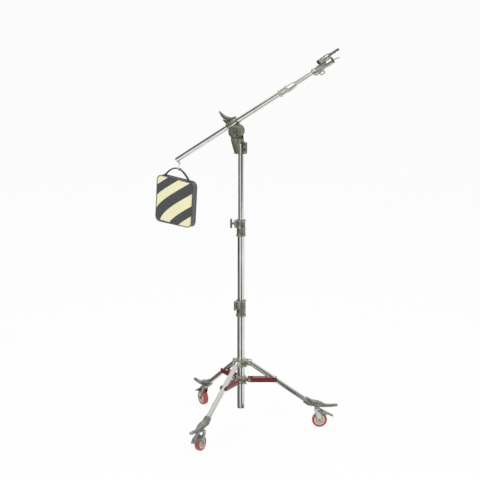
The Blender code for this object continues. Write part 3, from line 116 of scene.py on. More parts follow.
class Body(Enum):
    """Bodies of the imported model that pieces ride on; a leg's own bodies add the leg's name."""

    BASE = "base"
    HUB = "hub"
    LEG = "leg_"
    STRUT = "strut_"
    CASTER = "caster_"
    WHEEL = "wheel_"
    PEDAL = "pedal_"
    SCREW_LOW = "hub_screw_low"
    SCREW_HIGH = "hub_screw_high"
    HANDLE_LOW = "t_handle_low"
    HANDLE_HIGH = "t_handle_high"
    MIDDLE = "middle_stage"
    TOP = "top_stage"
    HEAD = "head"
    JAW = "jaw"
    WING = "wing"
    BOOM = "boom"
    COLLAR = "twist_collar"
    FRONT = "boom_front"
    D_HANDLE = "d_handle"
    END_PIN = "end_pin"
    HOOK = "hook"
    BAG = "bag"

    def of(self, side: str = "") -> str:
        """The body's name, with a leg's name after it where it has one."""
        return self.value + side


@dataclass
class Datum:
    """Where the joints' frames stand at rest, in the same sizes as the solids."""

    pivot_radius: float = 0.042
    leg_slope: float = 35.0
    leg_to_socket: float = 0.337
    socket_height: float = 0.1437
    socket_to_stem: float = 0.062
    brace_length: float = 0.127
    caster_trail: float = 0.0125
    wheel_radius: float = 0.0375
    pedal_x: float = 0.009
    pedal_z: float = 0.0882
    pedal_slope: float = 27.0
    stage_tops: tuple[float, float, float] = (0.621, 1.028, 1.442)
    head_azimuth: float = 20.0
    tilt_x: float = -0.0231
    tilt_rise: float = 0.06
    boom_tilt: float = 34.1
    boom_rise: float = 0.039
    eye_x: float = -0.346
    eye_drop: float = 0.0185
    bag_yaw: float = 40.0
    axis: Vector = field(default_factory=Vector)

    def find(self) -> None:
        """Read where the column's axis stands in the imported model."""
        low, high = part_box("column_tube_lower")
        self.axis = Vector(((low.x + high.x) / 2, (low.y + high.y) / 2, 0.0))

    def leg_pivot_z(self) -> float:
        """Height of the legs' upper pivots."""
        return self.socket_height + self.leg_to_socket * math.sin(math.radians(self.leg_slope))

    def brace_z(self) -> float:
        """Height of the braces' pivots."""
        return self.leg_pivot_z() - self.brace_length * math.tan(math.radians(self.leg_slope))

    def stem_radius(self) -> float:
        """Distance from the column's axis to a caster's swivel axis."""
        run = self.leg_to_socket * math.cos(math.radians(self.leg_slope))
        return self.pivot_radius + run + self.socket_to_stem

    def column(self) -> Matrix:
        """Frame on the floor under the column."""
        return Matrix.Translation(self.axis)

    def outward(self, index: int, radius: float, height: float) -> Matrix:
        """Frame of a leg's direction, at a radius and a height."""
        return self.column() @ axis_turn("Z", 120.0 * index) @ place(radius, 0, height)

    def leg(self, index: int) -> Matrix:
        """Frame along a leg tube, from its upper pivot."""
        return self.outward(index, self.pivot_radius, self.leg_pivot_z()) @ axis_turn("Y", self.leg_slope)

    def swivel(self, index: int) -> Matrix:
        """Frame on the floor under a caster's stem."""
        return self.outward(index, self.stem_radius(), 0.0)

    def wheel(self, index: int) -> Matrix:
        """Frame at a wheel's centre, with Y along its axle."""
        return self.swivel(index) @ place(self.caster_trail, 0, self.wheel_radius)

    def pedal(self, index: int) -> Matrix:
        """Frame of a brake pedal along its plate."""
        return self.swivel(index) @ place(self.pedal_x, 0, self.pedal_z) @ axis_turn("Y", self.pedal_slope)

    def head(self) -> Matrix:
        """Frame of the head, at floor height."""
        return self.column() @ axis_turn("Z", -self.head_azimuth)

    def tilt(self) -> Matrix:
        """Frame of the boom's jaw, on the tilt pin."""
        centre = place(self.tilt_x, 0, self.stage_tops[2] + self.tilt_rise)
        return self.head() @ centre @ axis_turn("Y", -self.boom_tilt)

    def boom(self) -> Matrix:
        """Frame along the boom's axis."""
        return self.tilt() @ place(0, 0, self.boom_rise)

    def hook(self) -> Matrix:
        """Plumb frame at the eye under the boom's rear end."""
        return self.boom() @ place(self.eye_x, 0, -self.eye_drop) @ axis_turn("Y", self.boom_tilt)

    def bag(self) -> Matrix:
        """Plumb frame of the sandbag, with X along its width."""
        return self.hook() @ axis_turn("Z", self.head_azimuth - self.bag_yaw)


class Bench:
    """Bmesh tools that the sub-assemblies share."""

    @staticmethod
    def seat(bm: Shape, matrix: Matrix) -> Shape:
        """Turn a closed shape's faces outward and move it into place."""
        bmesh.ops.recalc_face_normals(bm, faces=bm.faces)
        bmesh.ops.transform(bm, matrix=matrix, verts=bm.verts)
        return bm

    @staticmethod
    def bevel(bm: Shape, edges: list[bmesh.types.BMEdge], width: float, segments: int) -> None:
        """Round some edges of a shape."""
        bmesh.ops.bevel(bm, geom=edges, offset=width, offset_type="OFFSET", segments=segments, profile=0.5,
                        affect="EDGES", clamp_overlap=True, material=-1)

    @staticmethod
    def mesh(bm: Shape, name: str) -> bpy.types.Mesh:
        """Turn a bmesh into a mesh and free it."""
        mesh = bpy.data.meshes.new(name)
        bm.to_mesh(mesh)
        bm.free()
        return mesh

    @staticmethod
    def stand(name: str, data: bpy.types.ID) -> bpy.types.Object:
        """Put a new object with this data into the scene."""
        thing = bpy.data.objects.new(name, data)
        bpy.context.scene.collection.objects.link(thing)
        return thing

    @staticmethod
    def lathe(profile: Sequence[tuple[float, float]], matrix: Matrix, segments: int) -> Shape:
        """Turn a profile about Z.

        Args:
            profile: Points of (radius, z). One that starts off the axis is closed on itself.
            matrix: Where the turned shape goes.
            segments: Facets round the turn.

        Returns:
            A closed bmesh.
        """
        bm = bmesh.new()
        verts = [bm.verts.new((radius, 0.0, height)) for radius, height in profile]
        edges = [bm.edges.new(pair) for pair in zip(verts, verts[1:])]
        if profile[0][0] > 0.0:
            edges.append(bm.edges.new((verts[-1], verts[0])))
        bmesh.ops.spin(bm, geom=verts + edges, cent=(0, 0, 0), axis=(0, 0, 1), angle=math.tau, steps=segments,
                       use_merge=True)
        bmesh.ops.remove_doubles(bm, verts=bm.verts, dist=MERGE)
        return Bench.seat(bm, matrix)

    @staticmethod
    def band(inner: float, outer: float, low: float, high: float, matrix: Matrix, segments: int) -> Shape:
        """A plain ring about Z, such as a washer, between two radii and two heights."""
        return Bench.lathe([(inner, low), (outer, low), (outer, high), (inner, high)], matrix, segments)

    @staticmethod
    def studs(profile: Sequence[tuple[float, float]], seats: Sequence[Matrix], segments: int) -> Shape:
        """The same turned shape in several places, such as a row of rivets."""
        return Bench.gather(*(Bench.lathe(profile, seat, segments) for seat in seats))

    @staticmethod
    def slab(outline: Sequence[tuple[float, float]], low: float, high: float, matrix: Matrix, edge: float,
             segments: int) -> Shape:
        """Extrude an outline along Y and round its edges.

        Args:
            outline: Points of (x, z).
            low: Y of the first face.
            high: Y of the second face.
            matrix: Where the slab goes.
            edge: Width of the rounding, or 0 for none.
            segments: Steps in the rounding.

        Returns:
            A closed bmesh.
        """
        bm = bmesh.new()
        face = bm.faces.new([bm.verts.new((x, low, z)) for x, z in outline])
        grown = bmesh.ops.extrude_face_region(bm, geom=[face])["geom"]
        moved = [item for item in grown if isinstance(item, bmesh.types.BMVert)]
        bmesh.ops.translate(bm, verts=moved, vec=(0, high - low, 0))
        bmesh.ops.recalc_face_normals(bm, faces=bm.faces)
        if edge > 0.0:
            sharp = [e for e in bm.edges if e.calc_face_angle(0.0) > math.radians(30)]
            Bench.bevel(bm, sharp, edge, segments)
        bmesh.ops.transform(bm, matrix=matrix, verts=bm.verts)
        return bm

    @staticmethod
    def wire(path: Sequence[Vector], radius: float, matrix: Matrix, sides: int) -> Shape:
        """Sweep a round section along a path, with both ends capped.

        Args:
            path: Points that the section follows.
            radius: The section's radius.
            matrix: Where the wire goes.
            sides: Facets round the section.

        Returns:
            A closed bmesh.
        """
        bm = bmesh.new()
        points = [Vector(point) for point in path]
        ring = bmesh.ops.create_circle(bm, cap_ends=False, radius=radius, segments=sides)["verts"]
        heading = (points[1] - points[0]).normalized()
        turn = Vector((0, 0, 1)).rotation_difference(heading)
        bmesh.ops.transform(bm, matrix=Matrix.Translation(points[0]) @ turn.to_matrix().to_4x4(), verts=ring)
        first = bm.edges[:]
        loop = bm.edges[:]
        for index in range(1, len(points)):
            grown = bmesh.ops.extrude_edge_only(bm, edges=loop)["geom"]
            verts = [item for item in grown if isinstance(item, bmesh.types.BMVert)]
            loop = [item for item in grown if isinstance(item, bmesh.types.BMEdge)]
            bmesh.ops.translate(bm, verts=verts, vec=points[index] - points[index - 1])
            ahead = points[min(index + 1, len(points) - 1)] - points[index - 1]
            bend = heading.rotation_difference(ahead.normalized())
            bmesh.ops.rotate(bm, verts=verts, cent=points[index], matrix=bend.to_matrix())
            heading = ahead.normalized()
        bmesh.ops.holes_fill(bm, edges=first + loop, sides=sides)
        return Bench.seat(bm, matrix)

    @staticmethod
    def stack(sections: Sequence[tuple[Matrix, float, float]], sides: int, power: float = 1.0,
              matrix: Matrix = IDENTITY) -> Shape:
        """Extrude an oval ring from one section to the next and cap both ends.

        Args:
            sections: For each section its frame, half width along the frame's X and half height along its Y.
            sides: Facets round a section.
            power: Below 1 the ovals become boxier.
            matrix: Where the body goes.

        Returns:
            A closed bmesh.
        """
        bm = bmesh.new()
        ring = bmesh.ops.create_circle(bm, cap_ends=False, radius=1.0, segments=sides)["verts"]
        units = [tuple(math.copysign(abs(value) ** power, value) for value in vert.co[:2]) for vert in ring]
        loop = bm.edges[:]
        first = bm.edges[:]
        for index, (frame, half_width, half_height) in enumerate(sections):
            if index:
                grown = bmesh.ops.extrude_edge_only(bm, edges=loop)["geom"]
                fresh = {item for item in grown if isinstance(item, bmesh.types.BMVert)}
                loop = [item for item in grown if isinstance(item, bmesh.types.BMEdge)]
                ring = [next(e.other_vert(v) for e in v.link_edges if e.other_vert(v) in fresh) for v in ring]
            for vert, (u, v) in zip(ring, units):
                vert.co = frame @ Vector((u * half_width, v * half_height, 0.0))
        bmesh.ops.holes_fill(bm, edges=first + loop, sides=sides)
        return Bench.seat(bm, matrix)

    @staticmethod
    def hexagon(radius: float, low: float, high: float, matrix: Matrix) -> Shape:
        """A bolt head or a nut along Z, with its corners turned off."""
        chamfer = min(0.0008, (high - low) / 3)
        profile = [(0, low), (radius * 0.9, low), (radius, low + chamfer), (radius, high - chamfer),
                   (radius * 0.9, high), (0, high)]
        return Bench.lathe(profile, matrix, 6)

    @staticmethod
    def gather(*parts: Shape) -> Shape:
        """Put several closed shells into one bmesh.

        Args:
            parts: The shells; all but the first are freed.

        Returns:
            The first bmesh, which now holds them all.
        """
        whole = parts[0]
        for part in parts[1:]:
            mesh = Bench.mesh(part, "part")
            whole.from_mesh(mesh)
            bpy.data.meshes.remove(mesh)
        return whole

    @staticmethod
    def softened(node: str, edge: float) -> Shape:
        """Copy a solid's mesh and round its sharp edges, as on a casting.

        Args:
            node: The solid to copy.
            edge: Width of the rounding.

        Returns:
            The rounded copy.
        """
        bm = bmesh.new()
        bm.from_mesh(NODES[node].data)
        bmesh.ops.remove_doubles(bm, verts=bm.verts, dist=WELD)
        bmesh.ops.dissolve_limit(bm, angle_limit=math.radians(1.0), use_dissolve_boundaries=False,
                                 verts=bm.verts, edges=bm.edges)
        sharp = [e for e in bm.edges
                 if len(e.link_faces) == 2 and e.calc_face_angle(0.0) > math.radians(SHARP_ANGLE)]
        Bench.bevel(bm, sharp, edge, 2)
        bmesh.ops.triangulate(bm, faces=[f for f in bm.faces if len(f.verts) > 4])
        return bm

    @staticmethod
    def release(bm: Shape, name: str, body: str, finish: "Finish", slot: str,
                stands_for: Sequence[str] = (), smooth: float = 40.0) -> None:
        """Turn a bmesh into a dressed piece that rides on a body.

        Args:
            bm: The shape, already in place. It is freed.
            name: The piece's name.
            body: The body that it rides on.
            finish: What it is dressed with.
            slot: The record's material slot that it belongs to. Not used.
            stands_for: The solids that it replaces.
            smooth: Edges flatter than this, in degrees, are shaded smooth.
        """
        mesh = Bench.mesh(bm, name)
        mesh.shade_smooth()
        mesh.set_sharp_from_angle(angle=math.radians(smooth))
        piece = Bench.stand(name, mesh)
        mesh.materials.append(finish.material())
        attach(piece, body)
        if stands_for:
            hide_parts(*stands_for)
        LOG.info("%s rides on %s, %d faces", name, body, len(mesh.polygons))


class Tree:
    """A node tree under construction, for the world or a material."""

    def __init__(self, owner: bpy.types.World | bpy.types.Material) -> None:
        """Take over a world's or a material's node tree."""
        owner.use_nodes = True
        self.tree = owner.node_tree

    def put(self, kind: str, settings: dict | None = None, **sockets: object) -> bpy.types.Node:
        """Add a node.

        Args:
            kind: The node's type.
            settings: Properties of the node itself.
            sockets: Values or links for its inputs, by name with underscores for spaces, or by number as i0.

        Returns:
            The new node.
        """
        node = self.tree.nodes.new(kind)
        for key, value in (settings or {}).items():
            setattr(node, key, value)
        for key, value in sockets.items():
            numbered = key[0] == "i" and key[1:].isdigit()
            self.feed(node.inputs[int(key[1:]) if numbered else key.replace("_", " ")], value)
        return node

    def feed(self, target: Socket, value: object) -> None:
        """Give an input a link or a plain value."""
        if isinstance(value, Socket):
            self.tree.links.new(value, target)
        else:
            target.default_value = value

    def math(self, operation: str, first: object, second: object = 0.0, third: object = 0.0) -> Socket:
        """The result of a Math node with up to three values or links."""
        return self.put("ShaderNodeMath", {"operation": operation}, i0=first, i1=second, i2=third).outputs[0]


class Canvas(Tree):
    """The node tree of one material, with a Principled shader."""

    def __init__(self, name: str) -> None:
        """Start a material of this name."""
        self.material = bpy.data.materials.new(name)
        super().__init__(self.material)
        self.shader = self.tree.nodes["Principled BSDF"]
        self.place = self.put("ShaderNodeTexCoord").outputs["Object"]

    def noise(self, scale: float, detail: float, stretch: tuple[float, ...] = (1, 1, 1)) -> Socket:
        """Noise over the piece: cells per metre, octaves, and a scale along each axis."""
        mapped = self.put("ShaderNodeMapping", Vector=self.place, Scale=stretch)
        node = self.put("ShaderNodeTexNoise", Vector=mapped.outputs[0], Scale=scale, Detail=detail,
                        Roughness=0.6)
        return node.outputs["Fac"]

    def ramp(self, factor: Socket, *stops: tuple[float, tuple[float, float, float, float]],
             steps: bool = False) -> Socket:
        """A colour ramp.

        Args:
            factor: What drives it.
            stops: Pairs of position and colour.
            steps: Whether it jumps from colour to colour.

        Returns:
            The colour output.
        """
        node = self.put("ShaderNodeValToRGB", Fac=factor)
        ramp = node.color_ramp
        ramp.interpolation = "CONSTANT" if steps else "LINEAR"
        while len(ramp.elements) < len(stops):
            ramp.elements.new(0.5)
        for element, (position, colour) in zip(ramp.elements, stops):
            element.position = position
            element.color = colour
        return node.outputs["Color"]

    def tint(self, factor: Socket, low: float, dark: str, high: float, light: str) -> Socket:
        """A ramp from one colour to another, both written as six hexadecimal digits."""
        return self.ramp(factor, (low, tone(dark)), (high, tone(light)))

    def mask(self, factor: Socket, low: float, high: float) -> Socket:
        """A ramp from nothing to everything."""
        return self.ramp(factor, (low, DARKNESS), (high, WHITE))

    def edges(self, low: float, high: float) -> Socket:
        """A mask of the piece's outer edges, by pointiness."""
        return self.mask(self.put("ShaderNodeNewGeometry").outputs["Pointiness"], low, high)

    def mix(self, factor: object, first: object, second: object, blend: str = "MIX") -> Socket:
        """A colour mix.

        Args:
            factor: How much of the second colour shows.
            first: The first colour or link.
            second: The second colour or link.
            blend: How the two are blended.

        Returns:
            The result's socket.
        """
        node = self.put("ShaderNodeMix", {"data_type": "RGBA", "blend_type": blend})
        self.feed(node.inputs[0], factor)
        self.feed(node.inputs[6], first)
        self.feed(node.inputs[7], second)
        return node.outputs[2]

    def spread(self, factor: Socket, low: float, high: float) -> Socket:
        """Map a factor from 0 to 1 onto a range."""
        return self.put("ShaderNodeMapRange", Value=factor, To_Min=low, To_Max=high).outputs[0]

    def bump(self, height: Socket, distance: float, strength: float,
             under: Socket | None = None) -> Socket:
        """Add relief.

        Args:
            height: The height's socket, from 0 to 1.
            distance: Height of the relief, in metres.
            strength: How much of it shows.
            under: A normal to add the relief to.

        Returns:
            The new normal.
        """
        node = self.put("ShaderNodeBump", Strength=strength, Distance=distance, Height=height)
        if under is not None:
            self.feed(node.inputs["Normal"], under)
        return node.outputs["Normal"]

    def show(self, surface: Socket) -> None:
        """Let the material's surface come from a shader other than the Principled one."""
        self.feed(self.tree.nodes["Material Output"].inputs["Surface"], surface)

    def finish(self, **sockets: object) -> bpy.types.Material:
        """Give the shader its values and links, and return the material."""
        for key, value in sockets.items():
            self.feed(self.shader.inputs[key.replace("_", " ")], value)
        return self.material


class Finish:
    """A surface finish; each kind builds its material once."""

    made: dict["Finish", bpy.types.Material] = {}

    def material(self) -> bpy.types.Material:
        """The finish's material, built on the first call."""
        if self not in Finish.made:
            Finish.made[self] = self.build()
        return Finish.made[self]

    def build(self) -> bpy.types.Material:
        """Build the node tree."""
        raise NotImplementedError


@dataclass(frozen=True)
class PlatedTube(Finish):
    """Bright plated tube with faint draw lines and finger smears."""

    name: str = "plated_tube"
    colour: str = "e2e2de"
    roughness: float = 0.08

    def build(self) -> bpy.types.Material:
        """Build the node tree."""
        canvas = Canvas(self.name)
        smear = canvas.noise(18.0, 4.0)
        lines = canvas.noise(900.0, 2.0, (1.0, 1.0, 0.04))
        colour = canvas.tint(smear, 0.3, "cfcfca", 0.7, self.colour)
        rough = canvas.math("ADD", canvas.spread(smear, self.roughness, self.roughness + 0.05),
                            canvas.spread(lines, 0.0, 0.03))
        normal = canvas.bump(lines, 0.000015, 0.5)
        return canvas.finish(Base_Color=colour, Metallic=1.0, Roughness=rough, Normal=normal)


@dataclass(frozen=True)
class CastMetal(Finish):
    """Cast and tumbled light alloy: fine grain, dull patches and brighter worn edges."""

    name: str = "cast_alloy"
    colour: str = "8f8d84"
    dark: str = "6f6e62"
    worn: str = "b9b8b0"
    grain: float = 700.0
    roughness: float = 0.36

    def build(self) -> bpy.types.Material:
        """Build the node tree."""
        canvas = Canvas(self.name)
        patches = canvas.noise(45.0, 5.0)
        grain = canvas.noise(self.grain, 3.0)
        base = canvas.tint(patches, 0.28, self.dark, 0.66, self.colour)
        wear = canvas.edges(0.515, 0.56)
        colour = canvas.mix(canvas.math("MULTIPLY", wear, 0.55), base, tone(self.worn))
        rough = canvas.spread(grain, self.roughness - 0.06, self.roughness + 0.14)
        normal = canvas.bump(grain, 0.00012, 0.55, canvas.bump(patches, 0.0004, 0.25))
        return canvas.finish(Base_Color=colour, Metallic=0.9, Roughness=rough, Normal=normal)


@dataclass(frozen=True)
class PlatedSteel(Finish):
    """Zinc-plated fasteners and pressed forks, with a faint crystal mottle."""

    name: str = "zinc_plate"
    light: str = "d4d6d2"
    dark: str = "a9aca8"
    roughness: float = 0.24

    def build(self) -> bpy.types.Material:
        """Build the node tree."""
        canvas = Canvas(self.name)
        cells = canvas.put("ShaderNodeTexVoronoi", Vector=canvas.place, Scale=420.0).outputs["Color"]
        level = canvas.put("ShaderNodeSeparateColor", Color=cells).outputs[0]
        cloud = canvas.noise(60.0, 4.0)
        mottle = canvas.math("MULTIPLY_ADD", level, 0.25, canvas.math("MULTIPLY", cloud, 0.75))
        colour = canvas.tint(mottle, 0.25, self.dark, 0.65, self.light)
        rough = canvas.spread(mottle, self.roughness, self.roughness + 0.14)
        scratch = canvas.noise(1500.0, 2.0, (1.0, 0.15, 1.0))
        normal = canvas.bump(scratch, 0.00002, 0.4)
        return canvas.finish(Base_Color=colour, Metallic=1.0, Roughness=rough, Normal=normal)


@dataclass(frozen=True)
class StovedPaint(Finish):
    """Red stoved enamel with a fine orange peel and rubbed edges."""

    name: str = "red_enamel"
    colour: str = "78101f"
    deep: str = "500a14"
    rubbed: str = "963644"

    def build(self) -> bpy.types.Material:
        """Build the node tree."""
        canvas = Canvas(self.name)
        peel = canvas.noise(380.0, 2.0)
        cloud = canvas.noise(30.0, 3.0)
        base = canvas.tint(cloud, 0.3, self.deep, 0.7, self.colour)
        wear = canvas.edges(0.52, 0.57)
        colour = canvas.mix(canvas.math("MULTIPLY", wear, 0.5), base, tone(self.rubbed))
        normal = canvas.bump(peel, 0.00008, 0.5)
        return canvas.finish(Base_Color=colour, Metallic=0.2, Roughness=canvas.spread(cloud, 0.34, 0.46),
                             Normal=normal, Coat_Weight=0.2, Coat_Roughness=0.2)


@dataclass(frozen=True)
class WheelRubber(Finish):
    """Red polyurethane tyre, slightly clear, with a dark mottle and a little dust."""

    name: str = "red_polyurethane"
    colour: str = "b4424c"
    deep: str = "862a36"
    dust: str = "c29a97"

    def build(self) -> bpy.types.Material:
        """Build the node tree."""
        canvas = Canvas(self.name)
        cloud = canvas.noise(55.0, 4.0)
        speck = canvas.noise(1300.0, 2.0)
        base = canvas.tint(cloud, 0.3, self.deep, 0.68, self.colour)
        dusty = canvas.mask(canvas.math("MULTIPLY", cloud, speck), 0.3, 0.42)
        colour = canvas.mix(canvas.math("MULTIPLY", dusty, 0.35), base, tone(self.dust))
        return canvas.finish(Base_Color=colour, Roughness=canvas.spread(cloud, 0.22, 0.42),
                             Subsurface_Weight=0.2, Subsurface_Radius=(0.006, 0.0015, 0.0012),
                             Subsurface_Scale=1.0, Normal=canvas.bump(speck, 0.00004, 0.4), Coat_Weight=0.25,
                             Coat_Roughness=0.2)


@dataclass(frozen=True)
class MouldedPlastic(Finish):
    """Injection-moulded plastic with a spark-eroded texture."""

    name: str = "cream_nylon"
    colour: str = "e9ddc0"
    shade: str = "cdbd98"
    roughness: float = 0.42

    def build(self) -> bpy.types.Material:
        """Build the node tree."""
        canvas = Canvas(self.name)
        cloud = canvas.noise(70.0, 4.0)
        spark = canvas.noise(2200.0, 2.0)
        colour = canvas.tint(cloud, 0.28, self.shade, 0.62, self.colour)
        return canvas.finish(Base_Color=colour, Roughness=canvas.spread(spark, self.roughness - 0.06,
                                                                        self.roughness + 0.1),
                             Normal=canvas.bump(spark, 0.00003, 0.5))


@dataclass(frozen=True)
class StripedCloth(Finish):
    """Woven bag cloth with curved charcoal and cream stripes, laid out in the bag's own frame."""

    name: str = "striped_cloth"
    width: float = 0.238
    height: float = 0.234
    depth: float = 0.036
    hem: float = 0.0045
    place: tuple[float, ...] = (0.0, 0.0, 0.0)
    turn: tuple[float, ...] = (0.0, 0.0, 0.0)
    charcoal: str = "3d3c42"
    cream: str = "f7f2c6"
    striped: bool = True
    yarn: float = 5200.0

    def build(self) -> bpy.types.Material:
        """Build the node tree."""
        canvas = Canvas(self.name)
        mapped = canvas.put("ShaderNodeMapping", {"vector_type": "TEXTURE"}, Vector=canvas.place,
                            Location=self.place, Rotation=self.turn)
        split = canvas.put("ShaderNodeSeparateXYZ", Vector=mapped.outputs[0])
        x, y, z = (split.outputs[index] for index in range(3))
        colour = self.stripes(canvas, x, y, z) if self.striped else tone(self.charcoal)
        fleck = canvas.noise(350.0, 3.0)
        soil = canvas.noise(16.0, 4.0)
        worn = canvas.mix(canvas.spread(fleck, 0.0, 0.12), colour, tone("8a8a88"))
        worn = canvas.mix(canvas.spread(soil, 0.0, 0.12), worn, tone("8c8a78"), "MULTIPLY")
        warp = canvas.math("SINE", canvas.math("MULTIPLY", canvas.math("ADD", x, y), self.yarn))
        weft = canvas.math("SINE", canvas.math("MULTIPLY", z, self.yarn))
        weave = canvas.math("MULTIPLY_ADD", canvas.math("MULTIPLY", warp, weft), 0.5, 0.5)
        shaded = canvas.mix(canvas.spread(weave, 0.12, 0.0), worn, tone("5a5a5a"), "MULTIPLY")
        normal = canvas.bump(weave, 0.00022, 0.7, canvas.bump(soil, 0.0012, 0.3))
        return canvas.finish(Base_Color=shaded, Roughness=0.86, Normal=normal, Sheen_Weight=0.25,
                             Sheen_Roughness=0.5)

    def stripes(self, canvas: Canvas, x: Socket, y: Socket, z: Socket) -> Socket:
        """The curved stripes of both faces, the plain band round the sides, and a near-black top band that is
        painted shadow of the strap.

        Args:
            canvas: The tree to build in.
            x: Place across the bag, from its centre.
            y: Place through the bag.
            z: Place up the bag.

        Returns:
            The colour's socket.
        """
        charcoal, cream = tone(self.charcoal), tone(self.cream)
        across = canvas.math("ADD", canvas.math("DIVIDE", x, self.width), 0.5)
        up = canvas.math("ADD", canvas.math("DIVIDE", z, self.height), 0.5)
        fall = canvas.math("EXPONENT", canvas.math("MULTIPLY", canvas.math("ADD", across, up), -3.4))
        bend = canvas.math("MULTIPLY_ADD", fall, 0.275, up)
        lean = canvas.math("MULTIPLY_ADD", across, -0.696, bend)
        level = canvas.math("MULTIPLY_ADD", lean, 0.5, 0.5)
        bands = canvas.ramp(level, (0.0, cream), (0.294, charcoal), (0.403, cream), (0.5385, charcoal),
                            (0.6685, cream), (0.7795, charcoal), (0.881, cream), steps=True)
        side = canvas.math("LESS_THAN", canvas.math("ABSOLUTE", y), self.depth / 2 - self.hem)
        rim_x = canvas.math("GREATER_THAN", canvas.math("ABSOLUTE", x), self.width / 2 - self.hem)
        rim_z = canvas.math("GREATER_THAN", canvas.math("ABSOLUTE", z), self.height / 2 - self.hem + 0.001)
        hem = canvas.math("MAXIMUM", side, canvas.math("MAXIMUM", rim_x, rim_z))
        # Painted shadow: the band along the top is darkened, as the strap's shadow falls on it.
        top = canvas.math("GREATER_THAN", z, self.height / 2 - 0.0055)
        return canvas.mix(top, canvas.mix(hem, bands, tone("5a5a5c")), tone("1e1d19"))


@dataclass(frozen=True)
class Webbing(Finish):
    """Black woven webbing with ribs across it."""

    name: str = "black_webbing"
    colour: str = "3b3b3e"
    rib: float = 4200.0

    def build(self) -> bpy.types.Material:
        """Build the node tree."""
        canvas = Canvas(self.name)
        split = canvas.put("ShaderNodeSeparateXYZ", Vector=canvas.place)
        run = canvas.math("ADD", split.outputs[0], split.outputs[2])
        ribs = canvas.math("MULTIPLY_ADD", canvas.math("SINE", canvas.math("MULTIPLY", run, self.rib)), 0.5,
                           0.5)
        fuzz = canvas.noise(1800.0, 3.0)
        colour = canvas.tint(fuzz, 0.3, "1b1b1d", 0.7, self.colour)
        shaded = canvas.mix(canvas.spread(ribs, 0.35, 0.0), colour, tone("0c0c0c"))
        normal = canvas.bump(ribs, 0.0003, 0.7, canvas.bump(fuzz, 0.0001, 0.5))
        return canvas.finish(Base_Color=shaded, Roughness=0.8, Normal=normal, Sheen_Weight=0.2)


CHROME = PlatedTube()
LEG_CHROME = PlatedTube("plated_leg", "d2d2cf", 0.17)
COLLAR_PLATE = PlatedTube("plated_collar", "c6c5ba", 0.2)
TIP_PLATE = PlatedTube("plated_clamp", "98978a", 0.32)
CASTING = CastMetal()
HUB_CAST = CastMetal("hub_alloy", "b6b5a7", "96958a", "dcdbd2", 600.0, 0.34)
HANDLE = CastMetal("handle_alloy", "85837a", "66655b", "b3b2aa", 900.0, 0.32)
RECEIVER = CastMetal("head_casting", "5c5b49", "3e3d31", "8d8c80", 520.0, 0.36)
ZINC = PlatedSteel()
FORK = PlatedSteel("bright_zinc", "dddfdb", "b9bcb8", 0.34)
PEDAL = PlatedSteel("dull_zinc", "9d9d9c", "767675", 0.38)
GREEN_ZINC = PlatedSteel("passivated_zinc", "9fb098", "7b8b76", 0.34)
ENAMEL = StovedPaint()
TYRE = WheelRubber()
CREAM = MouldedPlastic("cream_nylon", "d9d1bd", "b9ae94")
RING_NYLON = MouldedPlastic("ring_nylon", "8d8470", "6f6757")
PIN_STEEL = CastMetal("pin_steel", "77766a", "4f4e44", "b5b4ac", 900.0, 0.28)
WING_CAST = CastMetal("wing_casting", "67665c", "4a4940", "8f8e86", 900.0, 0.34)
# Near-black finish: painted shade for the receiver's slit and hole.
RECESS_SHADE = MouldedPlastic("painted_recess_shade", "17160f", "0e0d09", 0.7)
WIRE = PlatedSteel("hook_wire", "eeeeea", "d8d8d2", 0.45)
BLACK = MouldedPlastic("black_rubber", "26262a", "151517", 0.6)
GREY_NYLON = MouldedPlastic("grey_nylon", "6d6c68", "565550", 0.5)
WEBBING = Webbing()
NODES: dict[str, bpy.types.Object] = {}
CLOTH_SETTINGS = {"quality": 6, "mass": 0.3, "tension_stiffness": 18.0, "compression_stiffness": 18.0,
                  "bending_stiffness": 0.6, "use_pressure": True, "uniform_pressure_force": 4.0}


